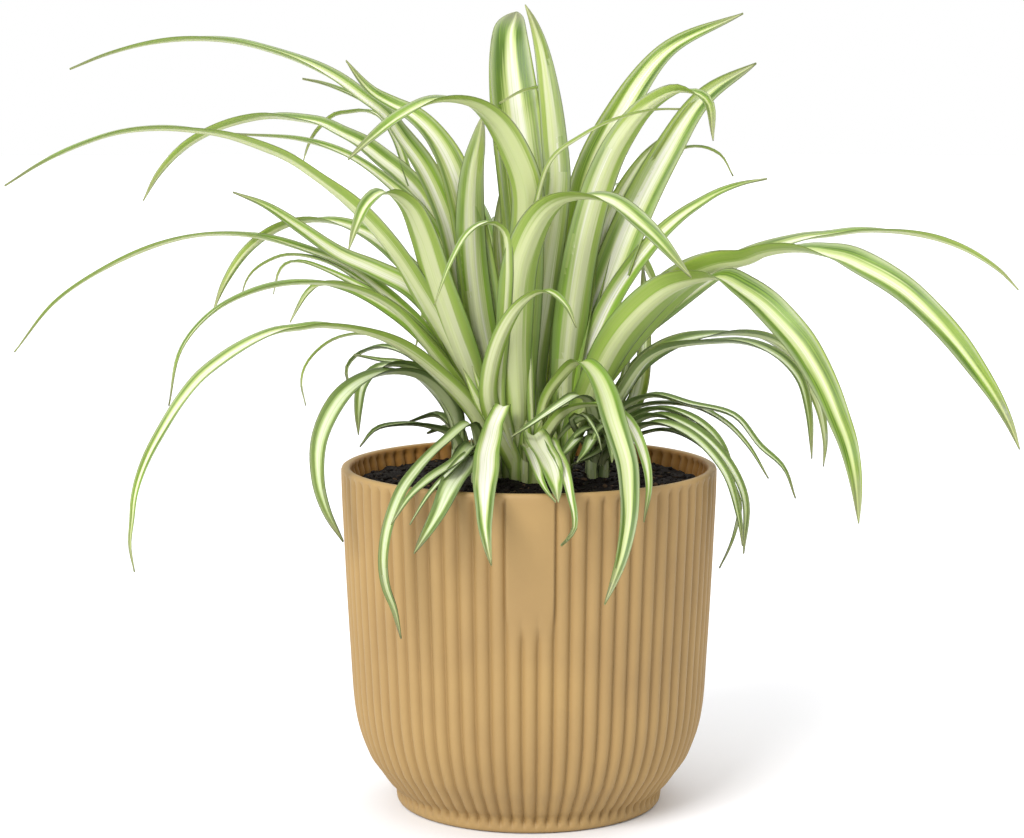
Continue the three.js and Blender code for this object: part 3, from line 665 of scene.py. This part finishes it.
def addLeaf(bm, layers, shoot, leaf, seed):
    line, length = leafLine(shoot, leaf["path"])
    sides, faces = leafFrames(leaf, line)
    root = min(leaf["width"], leaf.get("root", leafShape["rootShare"] * shoot["radius"]))
    marks = [i / (len(line) - 1) for i in range(len(line))]
    widths = [bladeWidth(leaf, root, along, length) for along in marks]
    folds = [leafShape["rootFold"] + (leafShape["fold"] - leafShape["rootFold"])
             * smoothStep(*leafShape["foldReach"], along * length) for along in marks]
    look = [leaf.get(key, value) for key, value in leafLook.items()]
    addBlade(bm, layers, line, length, sides, faces, widths, folds, look, seed)


# The short pale leaf bases that wrap the foot of a shoot, their hollow sides to its middle.
def addSheaths(bm, layers, shoot, seed):
    draw = random.Random(seed)
    up = Vector((0, 0, 1))
    foot = Vector((*shoot["at"], soilTop))
    for k in range(sheathShape["count"]):
        turn = 2 * math.pi * (k + sheathShape["scatter"] * draw.random()) / sheathShape["count"]
        out = Vector((math.cos(turn), math.sin(turn), 0))
        across = Vector((-math.sin(turn), math.cos(turn), 0))
        reach = shoot["radius"] * draw.uniform(*sheathShape["reach"])
        tall = shoot["radius"] * draw.uniform(*sheathShape["height"])
        lean = draw.uniform(*sheathShape["lean"])
        points = [foot + out * sheathShape["footReach"] * reach - up * sheathShape["footDepth"],
                  foot + out * reach + up, foot + out * reach + up * 0.5 * tall,
                  foot + out * (reach + lean * tall) + up * tall]
        line, length = evenLine(smoothLine(points, sheathShape["stepsPerSpan"]), sheathShape["stepLength"])
        last = len(line) - 1
        faces = [tangent.cross(across).normalized() for tangent in tangentsOf(line)]
        faces = [-face if face.dot(out) > 0 else face for face in faces]
        tapers = [(1 - (i / last) ** sheathShape["taper"]) ** sheathShape["roundness"]
                  for i in range(last + 1)]
        widths = [max(sheathShape["width"] * shoot["radius"] * taper, sheathShape["tipWidth"])
                  for taper in tapers]
        look = [sheathShape["stripe"], draw.uniform(*sheathShape["shade"]),
                draw.uniform(*sheathShape["cream"])]
        addBlade(bm, layers, line, length, [across] * (last + 1), faces, widths,
                 [sheathShape["fold"]] * (last + 1), look, seed + k)


def makeShoot(name, node, shoot, material):
    bm = bmesh.new()
    layers = {key: bm.verts.layers.float_vector.new(key) for key in ("bladeShare", "bladePlace", "bladeLook")}
    seed = 3.1 * len(name) + 0.7 * shoot["at"][0]  # no two shoots share one
    for number, leaf in enumerate(shoot["leaves"]):
        addLeaf(bm, layers, shoot, leaf, number + seed)
    addSheaths(bm, layers, shoot, sheathShape["seed"] + seed)
    bmesh.ops.create_cone(bm, cap_ends=True, segments=crownShape["sides"], depth=crownShape["height"],
                          radius1=crownShape["bottom"] * shoot["radius"],
                          radius2=crownShape["top"] * shoot["radius"],
                          matrix=Matrix.Translation((*shoot["at"], soilTop - crownShape["sunk"])))
    addPiece(name, bm, material, node)


# Each leaf has its width, the turn of its blade about the upright in degrees (0 faces the eye), the
# twist added by its tip, the widths of leaf that it takes to widen (rise), the power of its taper (a
# low one gives a long thin tip), its width at its root, its looks, and its path from root to tip.
shoots = {}
shoots["shoot_left"] = {
    "at": (-11, 9),
    "radius": 5.2,
    "leaves": [
        {"width": 13, "turn": 20, "twist": 50, "taper": 2, "path": [(-18, 160, 11), (-24, 190, 14),
            (-30.5, 218, 17), (-38.5, 237, 21), (-46.5, 248.5, 24), (-53, 257.5, 26), (-61.5, 264, 28),
            (-70.5, 270.5, 30), (-81, 276, 31), (-93, 280.5, 33), (-107, 284, 35), (-122, 285, 37),
            (-138.5, 283.5, 39), (-154, 279.5, 40), (-168, 274, 41)]},
        {"width": 17, "turn": 5, "twist": 25, "taper": 2.5, "path": [(-15, 158, 10), (-19, 196.5, 11),
            (-24, 224, 12), (-29.5, 240.5, 13), (-36, 251, 14), (-43, 257.5, 15), (-51, 261.5, 17),
            (-57, 265, 18), (-61.5, 269.5, 20), (-67, 277, 22)]},
        {"width": 12, "turn": -20, "twist": -45, "taper": 2, "path": [(-19, 150, 7), (-29, 172, 4),
            (-37.5, 187, 2), (-47, 203, 0), (-55.5, 214, -2), (-66, 225, -5), (-77, 233.5, -7),
            (-88, 241, -9), (-99.5, 246, -11), (-111.5, 250, -13), (-124.5, 252, -15), (-137, 252.5, -17),
            (-151, 251, -19), (-165, 246.5, -21), (-179, 240, -22), (-193, 231.5, -24)]},
        {"width": 12, "turn": 30, "taper": 3, "path": [(-19, 160, 14), (-27, 194.5, 22), (-34, 216.5, 28),
            (-41, 228.5, 32), (-47.5, 235.5, 35), (-55, 241.5, 38), (-62, 247, 40), (-69.5, 251, 43),
            (-76.5, 254.5, 46), (-84, 256, 48), (-94.5, 257, 51), (-104, 255.5, 53), (-115, 252, 56),
            (-124.5, 247, 59), (-131, 241.5, 61), (-137, 234.5, 62), (-142, 226, 64)]},
        {"width": 4.5, "turn": 30, "taper": 5, "path": [(-18, 158, 12), (-27, 189, 18), (-36, 213, 26),
            (-44, 233.5, 36), (-49, 248, 46), (-54.5, 256.5, 52), (-60, 259, 56), (-65.5, 258.5, 58),
            (-71, 257.5, 59), (-75, 254.5, 60), (-79, 250, 60), (-81.5, 245, 60), (-83, 240, 60)]},
        {"width": 11, "turn": 25, "twist": 25, "taper": 2, "path": [(-17, 158, 12), (-27, 195, 16),
            (-39, 219, 20), (-51, 231.5, 23), (-66, 242.3, 27), (-84, 248.5, 30), (-108, 250.5, 33)]},
        {"width": 10.5, "turn": 15, "taper": 2.5, "path": [(-20, 155, 9), (-31, 179, 12), (-43, 193, 14),
            (-56.5, 200, 16), (-70, 206, 18), (-84, 215.5, 21), (-97, 224, 24), (-109, 229, 26)]},
        {"width": 8.5, "turn": 35, "twist": 35, "taper": 1.8, "path": [(-22, 150, 8), (-36, 174, 12),
            (-49, 187.5, 16), (-66, 201, 21), (-84, 208.5, 26), (-104, 213.5, 32), (-126, 212.8, 38),
            (-152, 203.5, 44), (-175, 189, 49), (-191, 170, 52)]},
        {"width": 9, "turn": 20, "path": [(-20, 158, 12), (-36, 190, 19), (-54, 210, 25),
            (-66, 216.5, 28), (-79, 219, 31), (-93, 215.5, 34), (-104, 207.5, 36), (-112.5, 195.5, 38),
            (-117, 185, 39)]},
        {"width": 4, "turn": 50, "taper": 4, "path": [(-22, 154, 10), (-42, 182, 16), (-62, 196, 21),
            (-73.5, 203, 24), (-84, 206, 27), (-90.5, 206, 28), (-97, 203.5, 30), (-102, 200, 31),
            (-105, 195.5, 32), (-106, 191.5, 32)]},
        {"width": 5, "turn": 20, "taper": 3, "path": [(-22, 154, 9), (-42, 179.5, 13), (-57, 191, 17),
            (-68, 197, 19), (-76.5, 201, 21), (-83.5, 203.5, 22), (-88.5, 203.5, 23), (-92, 200.5, 24),
            (-93.5, 196, 25), (-94.5, 191.5, 25)]},
        {"width": 9, "turn": -40, "twist": -25, "taper": 1.8, "path": [(-21, 147, 5), (-34, 167, 0),
            (-50, 186, -7), (-66, 194, -13), (-84, 196, -20), (-101, 193, -27), (-117, 185, -33),
            (-129, 171, -38), (-134, 150, -41)]},
        {"width": 5, "turn": 10, "taper": 4, "path": [(-21, 150, 8), (-42, 178, 5), (-62.5, 192, 3),
            (-72, 195, 2), (-78, 195, 2), (-82, 192, 1), (-85, 187.5, 1), (-88.5, 181, 1)]},
        {"width": 9, "turn": -20, "taper": 1.8, "path": [(-20, 146, 3), (-35, 162.5, -4),
            (-49.5, 173, -13), (-64.5, 178.5, -21), (-77.5, 180, -28), (-85, 179, -32), (-92.5, 178, -36),
            (-99.5, 175.5, -40), (-107, 171.5, -44), (-114.5, 166.5, -48), (-122.5, 160, -52),
            (-130, 151, -57), (-137, 140, -61), (-142, 131, -63), (-145.5, 122.5, -65),
            (-147.5, 115, -67), (-148.5, 106.5, -68), (-149.5, 97, -69), (-148, 87, -70)]},
        {"width": 14, "turn": -15, "taper": 3, "path": [(-20, 155, 5), (-28, 178, 1), (-34.3, 196.5, -3),
            (-39.5, 213, -8), (-45, 224.5, -13), (-53, 229.5, -19), (-59.5, 225, -24), (-63.5, 217, -27),
            (-66.5, 208, -29)]},
        {"width": 12.5, "turn": 5, "taper": 6, "path": [(-13.5, 155, 8), (-19, 185, 8), (-21.5, 212, 9),
            (-21, 235, 9), (-18.5, 249, 8), (-17, 257, 8)]},
        {"width": 3, "turn": 45, "path": [(-22, 150, 14), (-40, 167, 27), (-58, 176.5, 32),
            (-72, 175, 35), (-82, 166.5, 37), (-84.5, 159, 38), (-83, 150, 38)]},
        {"width": 13, "turn": 15, "twist": 30, "taper": 2.2, "path": [(-16.5, 160, 14),
            (-20.5, 181.5, 20), (-25, 203, 26), (-31, 223, 31), (-37, 237.5, 35), (-45, 248.5, 38),
            (-53, 257.5, 41), (-61.5, 263, 43), (-69, 266.5, 45), (-76, 269, 46), (-83, 270.5, 47)]},
    ],
}
shoots["shoot_centre"] = {
    "at": (0, 13),
    "radius": 5.2,
    "leaves": [
        {"width": 21, "turn": 5, "taper": 7, "shade": 0.1, "path": [(1.5, 165, 17), (1, 200, 20),
            (-1.5, 230, 22), (-4, 250, 24), (-6, 266, 27), (-7, 279, 32), (-7, 288, 38),
            (-4.5, 294.5, 54)]},
        {"width": 12, "turn": -10, "taper": 4.5, "shade": 0.3, "path": [(1, 165, 13), (6, 200, 11),
            (10, 234.5, 9), (9, 248, 9), (7.5, 262.5, 8), (4.5, 280.5, 7), (1.5, 290.5, 7), (-1.5, 297, 7)]},
        {"width": 14.5, "turn": -15, "taper": 3, "stripe": 0.5, "cream": 0.5, "path": [(-3, 165, 8),
            (-1.5, 205, 2), (-1, 229.5, -4), (-5.5, 243, -8), (-13, 255.5, -14), (-22, 261.8, -20),
            (-34, 263, -27), (-47.3, 257, -35), (-58, 248.7, -41), (-66.5, 241, -45)]},
        {"width": 4, "turn": 20, "path": [(4, 180, 17), (7, 225, 20), (9.5, 256, 21), (7, 266.5, 21),
            (-1, 266.5, 20), (-11, 261.5, 19)]},
        {"width": 8, "turn": 15, "path": [(-4, 160, 16), (-9, 190, 20), (-11.5, 214, 22),
            (-10, 232, 23)]},
    ],
}
shoots["shoot_right"] = {
    "at": (10.5, 7),
    "radius": 5.2,
    "leaves": [
        {"width": 16.5, "turn": -15, "taper": 2.8, "shade": 0.3, "path": [(14, 165, 10), (18, 200, 16),
            (22, 233, 24), (32, 255, 32), (50, 280, 40), (78, 294, 46)]},
        {"width": 14, "turn": 5, "taper": 3, "path": [(14, 165, 8), (19, 205, 7), (26, 232, 5),
            (34, 249, 3), (44, 261, 0), (56, 266.5, -3), (65, 262.5, -6), (67.5, 248, -7)]},
        {"width": 15, "turn": -5, "shade": 0.25, "path": [(17, 160, 9), (27, 190, 13), (38, 219, 17),
            (50.5, 243.5, 21), (64, 263.5, 25), (83, 276, 28)]},
        {"width": 10, "turn": 5, "path": [(16, 165, 10), (23, 195, 15), (31, 222, 20), (41, 240, 24),
            (50, 250, 27)]},
        {"width": 10, "turn": -15, "taper": 2, "path": [(19, 160, 8), (31, 190, 11), (46, 211, 14),
            (55.5, 220, 16), (63, 225, 17), (70, 229, 18), (78, 232, 19), (87.5, 234, 21)]},
        {"width": 4, "turn": -40, "path": [(15, 165, 12), (28, 210, 20), (44, 238, 27), (60, 246, 31),
            (70, 243, 34), (75, 235, 36)]},
        {"width": 16, "turn": 5, "taper": 3, "stripe": 0.3, "shade": 0.4, "cream": 0.6, "path": [(20, 150, 4),
            (33, 171, -1), (48.5, 189, -7), (59.5, 197.5, -11), (70, 202, -15), (80, 204, -19),
            (87, 207, -23), (94.5, 208.5, -26), (102, 208.5, -29), (109, 207, -32), (116.5, 205, -35),
            (124, 201.5, -39), (131.5, 197.5, -42), (139, 192.5, -45), (148.5, 184, -50), (158, 174, -54),
            (165.5, 164.5, -58), (173.5, 153, -61), (179, 143, -62), (183, 133.5, -64)]},
        {"width": 15.5, "turn": 5, "taper": 3.2, "stripe": 0.24, "shade": 0.4, "cream": 0.6,
            "path": [(19, 145, 2), (31, 171.5, -6), (41, 184.5, -12), (52, 193.5, -17), (63, 197.5, -21),
            (70.5, 198.5, -25), (78.5, 194, -29), (86, 188.5, -33), (93.5, 181, -38), (100.5, 173, -42),
            (106, 164.5, -45), (111, 155, -48), (115, 145.5, -51), (118.5, 136.5, -53), (121, 127, -56),
            (122.5, 118, -57), (123.5, 105.5, -58)]},
    ],
}
shoots["shoot_front"] = {
    "at": (-1, -1.5),
    "radius": 5.5,
    "leaves": [
        {"width": 15, "turn": 15, "cream": 0.6, "path": [(-4, 150, -3), (-5, 175, -7), (-2, 206, -13),
            (9, 224.5, -20), (26, 227.5, -29), (43, 216, -38), (60, 197.5, -46)]},
        {"width": 5, "turn": -30, "path": [(-11, 150, -4), (-9, 181.5, -9), (-8, 203, -13),
            (-9, 214, -15), (-13.5, 218, -18), (-17.5, 217.5, -18), (-23, 213.5, -23), (-29, 203, -28),
            (-35, 187.5, -32)]},
        {"width": 7.5, "turn": 15, "stripe": 0.5, "cream": 0.9, "path": [(-12, 143, -5), (-15, 155, -9),
            (-11, 174, -14), (-3, 187.5, -19), (6, 192.8, -25), (13.5, 187.5, -30), (17.5, 179, -32)]},
        {"width": 12, "turn": 0, "rise": 8, "stripe": 0.6, "shade": 0.2, "cream": 1, "root": 3.4,
            "path": [(-9.5, 147.5, -7), (-9.5, 150, -12), (-12.5, 144, -15), (-14, 138, -26),
            (-15.5, 132, -37), (-16, 125.5, -55), (-16.5, 119, -71), (-16.5, 111.5, -82),
            (-16.5, 105.5, -86), (-16, 100, -89), (-15, 94, -91), (-14, 89.5, -91)]},
        {"width": 10.5, "turn": 30, "twist": -30, "rise": 9, "stripe": 0.42, "shade": -0.3, "cream": 0.35,
            "root": 3, "path": [(6, 151, -4), (12.5, 161, -9), (19, 166.5, -17), (24, 163, -26),
            (28, 155.5, -37), (31.5, 144, -53), (34, 136.5, -60), (36.5, 128, -66), (37.5, 118, -74),
            (37.5, 108.5, -80), (36.5, 100.5, -83), (34.5, 91, -86), (31.5, 82, -87), (28.5, 74.5, -88)]},
        {"width": 6, "turn": 15, "stripe": 0.5, "cream": 0.9, "path": [(12, 146, -12), (26, 150.5, -28),
            (36, 145, -42), (42.5, 132, -56), (44.8, 119, -66), (43, 106, -69)]},
        {"width": 9.5, "turn": 10, "rise": 4, "taper": 6, "stripe": 0.8, "shade": 0, "cream": 0.7,
            "root": 2.8, "path": [(1, 139, -10), (4.5, 134, -34), (8, 127.5, -54), (10, 119.5, -71),
            (11, 113.5, -78)]},
        {"width": 5, "turn": 0, "stripe": 0.6, "shade": 0, "cream": 1, "root": 2.5,
            "path": [(-1, 134, -12), (3, 126, -52), (4.5, 121.5, -65), (7, 117, -72), (10, 113.5, -76)]},
        {"width": 5, "turn": 15, "taper": 4, "stripe": 0.55, "shade": 0, "cream": 1, "root": 2.5,
            "path": [(6, 136.5, -11), (10, 132, -41), (12.5, 127.5, -53), (14, 122.5, -66),
            (15.5, 115.5, -76), (17, 108.5, -81), (17, 103.5, -82), (15, 100, -83), (12, 97, -83)]},
        {"width": 4, "turn": 10, "path": [(-9, 138, -4), (-15, 149, -7), (-21, 164.5, -10)]},
        {"width": 6, "turn": -20, "path": [(-9, 138, -3), (-17, 148, -5), (-24.5, 163.5, -6)]},
        {"width": 3.5, "turn": 30, "taper": 2.2, "path": [(1, 150, -2), (0, 185.5, -3), (0.5, 211, -5),
            (3.5, 228, -6), (7, 239, -8), (11.5, 244.5, -9), (17.5, 248.5, -10), (26, 253.5, -11),
            (33.5, 256.5, -12), (40.5, 258.5, -13), (48, 259.5, -13), (55.5, 259.5, -13)]},
    ],
}
shoots["shoot_back"] = {
    "at": (1, 27),
    "radius": 5.2,
    "leaves": [
        {"width": 11, "turn": -20, "taper": 2, "path": [(14, 153, 33), (40, 177, 41), (76, 203, 51),
            (100, 212, 58), (111, 213.5, 61), (122, 215, 63), (131, 215, 66), (140.5, 214, 68),
            (151.5, 211.5, 71), (163, 207, 74), (174, 200, 77), (181, 193, 79)]},
        {"width": 11, "turn": 60, "path": [(-5, 160, 42), (-14, 190, 66), (-24, 206, 98), (-34, 196, 130),
            (-42, 172, 152)]},
        {"width": 10, "turn": 20, "path": [(-2, 165, 40), (-6, 200, 60), (-9, 219, 90), (-12, 212, 125),
            (-14, 190, 152)]},
        {"width": 11, "turn": -10, "path": [(3, 160, 42), (7, 188, 66), (11, 201, 98), (15, 190, 132),
            (18, 162, 158)]},
        {"width": 10, "turn": -40, "path": [(6, 162, 40), (16, 192, 58), (28, 209, 84), (40, 206, 112),
            (50, 188, 134)]},
        {"width": 9, "turn": 5, "path": [(1, 150, 44), (2, 168, 70), (0, 172, 100), (-3, 158, 126),
            (-5, 138, 142)]},
        {"width": 10, "turn": 35, "path": [(-6, 165, 38), (-13, 203, 50), (-20, 224, 70), (-28, 227, 96),
            (-36, 215, 122)]},
        {"width": 11, "turn": -20, "path": [(7, 165, 37), (16, 204, 50), (25, 228, 72), (34, 232, 98),
            (42, 220, 124)]},
        {"width": 11, "turn": 5, "path": [(2, 170, 36), (4, 212, 44), (5, 240, 62), (5, 248, 86),
            (4, 238, 110)]},
    ],
}
shoots["tuft_left"] = {
    "at": (-25, 14),
    "radius": 3.5,
    "leaves": [
        {"width": 9.5, "turn": -18, "stripe": 0.5, "shade": 1.2, "cream": 0.5, "path": [(-29, 148, 11),
            (-40, 160.5, 4), (-54, 162.5, -8), (-68.5, 154.5, -23), (-77.5, 138, -32), (-78.5, 122, -36),
            (-75.5, 110, -38), (-69.5, 98.5, -38)]},
        {"width": 8, "turn": -10, "path": [(-29, 150, 11), (-42, 163.5, 6), (-54, 165, 1),
            (-61.5, 158, -3), (-63.3, 149, -5), (-63.5, 139, -6)]},
        {"width": 6, "turn": 40, "path": [(-28, 150, 14), (-42, 167, 13), (-54, 172, 14),
            (-63, 169.5, 15), (-67.5, 164, 16), (-66.8, 157, 16)]},
        {"width": 4.5, "turn": 35, "path": [(-28, 146, 12), (-44, 164.5, 9), (-56, 167, 8),
            (-65, 169, 7)]},
        {"width": 5, "turn": -35, "path": [(-28, 138, 10), (-38, 142.5, 4), (-48, 143, -1),
            (-57, 141, -5), (-63, 134.5, -8)]},
        {"width": 7, "turn": 60, "path": [(-28, 140, 15), (-34, 146.5, 18), (-44.5, 144, 22)]},
        {"width": 6, "turn": 75, "path": [(-27, 136, 16), (-31, 141.5, 22), (-38, 139.5, 30)]},
    ],
}
shoots["tuft_right"] = {
    "at": (26, 10),
    "radius": 4.5,
    "leaves": [
        {"width": 6, "turn": 50, "rise": 2.5, "path": [(32, 146, 6), (45, 153.8, 2), (60, 150.5, -3),
            (76.5, 146, -7), (86, 134.7, -10), (95, 126.5, -12), (99.7, 115, -13)]},
        {"width": 4.5, "turn": 45, "path": [(31.5, 142.5, 8), (41.5, 150, 6), (60, 150, 3),
            (72.5, 144, 0), (81.5, 135, -1), (89.5, 122.5, -3)]},
        {"width": 6.5, "turn": 40, "rise": 2.5, "path": [(33, 141, 3), (46, 149, -3), (60, 145.7, -9),
            (71, 136.5, -14), (77, 123.5, -17)]},
        {"width": 6.5, "turn": 35, "rise": 2.5, "path": [(32, 137, 1), (46, 146.5, -7), (60, 142, -14),
            (73, 130, -20), (80.5, 115, -24), (80.5, 94, -26)]},
        {"width": 6.5, "turn": 35, "rise": 2.5, "path": [(32, 135, -2), (46, 143.5, -13), (60, 139, -22),
            (73, 125, -29), (78.5, 108, -31), (80, 97, -32)]},
        {"width": 3, "turn": 30, "path": [(32, 134, 2), (50, 141, -9), (67, 132.5, -18), (78.5, 114, -21),
            (77.5, 104, -21), (75, 96, -22), (71.5, 88.5, -22)]},
        {"width": 8, "turn": 30, "rise": 9, "path": [(30, 145, 9), (36, 156.5, 7), (43, 166.5, 6),
            (50, 171, 5), (57.5, 173, 3), (68, 174, 2), (78, 174, 0), (87, 171.5, -2), (95, 166.5, -4),
            (101, 159, -6), (104, 147.5, -8), (105.5, 130, -9)]},
        {"width": 7, "turn": -10, "rise": 11, "path": [(31, 148, 13), (40.5, 164, 15), (48.5, 170.5, 16),
            (57.5, 174.5, 17), (68, 176.5, 19), (78, 177, 20), (88.5, 175, 21), (97, 169.5, 22),
            (103.5, 159.5, 23), (108.5, 148, 24), (110.5, 136.5, 24), (110, 127, 25)]},
        {"width": 6.5, "turn": -10, "path": [(33, 140, 15), (41, 155, 18), (43, 178, 20), (42, 203, 22)]},
        {"width": 5, "turn": 10, "path": [(30, 142, 12), (35, 158, 12), (37.5, 173, 12)]},
        {"width": 6, "turn": -10, "taper": 3, "stripe": 0.6, "cream": 0.9, "path": [(23.5, 148, -2),
            (20.5, 153, -8), (17, 153.5, -13), (13.5, 151.5, -17), (6, 146.5, -23), (-0.5, 142, -27),
            (-6.5, 138, -31)]},
        {"width": 2.5, "turn": 0, "path": [(16, 145.5, -12), (20, 146.5, -12), (23.5, 142.5, -17),
            (26, 137.5, -21), (27, 133, -23)]},
        {"width": 6, "turn": 30, "path": [(24, 136, -2), (19, 138, -14), (14, 133, -26),
            (10, 128.5, -34)]},
        {"width": 6, "turn": -10, "path": [(26, 137, -4), (24, 138, -16), (21, 132.5, -30),
            (18, 128.5, -38)]},
        {"width": 6, "turn": 20, "path": [(28, 136, -2), (30, 138.5, -14), (31, 133, -28),
            (31, 128.5, -36)]},
        {"width": 4.5, "turn": 30, "shade": 1.4, "cream": 0.2, "path": [(28.5, 139.5, -2),
            (23.5, 141.5, -6), (18.5, 139.5, -13), (14, 134.5, -20)]},
        {"width": 4.5, "turn": -30, "shade": 1.4, "cream": 0.2, "path": [(29.5, 137.5, -2),
            (26.5, 133, -8), (21.5, 130, -16), (16, 127.5, -24)]},
        {"width": 4, "turn": 10, "shade": 1.4, "cream": 0.2, "path": [(31, 138, -2), (28.5, 142.5, -8),
            (25, 139.5, -16), (23, 134, -22)]},
        {"width": 5, "turn": 40, "shade": 1.4, "cream": 0.2, "path": [(28, 142.5, 0), (22, 145.5, -3),
            (15.5, 142.5, -8), (10, 136.5, -12)]},
        {"width": 4, "turn": -20, "shade": 1.4, "cream": 0.2, "path": [(32.5, 140.5, 4), (31, 147, 6),
            (27, 152.5, 8), (22.5, 154.5, 9)]},
    ],
}
shoots["tuft_front"] = {
    "at": (-17, -5),
    "radius": 3.8,
    "leaves": [
        {"width": 5, "turn": -25, "taper": 6, "stripe": 0.5, "shade": 1.3, "cream": 0.4,
            "path": [(-21, 143, -13), (-31.5, 136, -29), (-42, 125.5, -52), (-48.5, 115.5, -66),
            (-53, 102.5, -71), (-54.5, 90.5, -73), (-53.5, 81.5, -73), (-50.5, 73, -72),
            (-48, 61.5, -71)]},
        {"width": 6, "turn": -25, "stripe": 0.5, "shade": 1.1, "cream": 0.4, "path": [(-20, 135, -14),
            (-27, 129, -38), (-38, 121.5, -62), (-45, 115, -70), (-51.5, 105, -73)]},
        {"width": 11, "turn": -15, "rise": 3, "stripe": 0.55, "shade": 0.9, "cream": 0.6,
            "path": [(-20, 134, -13), (-25, 126, -40), (-29.5, 118.5, -68), (-34, 109, -80),
            (-43, 94, -84)]},
        {"width": 3.5, "turn": -30, "path": [(-21, 132, -22), (-31, 123.5, -56), (-38, 115.5, -70),
            (-44.5, 105, -75)]},
    ],
}

stripedLeaf = leafBlade("stripedLeafBlade", leafColours)
youngLeaf = leafBlade("youngLeafBlade", smallLeafColours)
for node, shoot in shoots.items():
    isTuft = node.startswith("tuft")
    makeShoot(node + "_leaves", node, shoot, youngLeaf if isTuft else stripedLeaf)
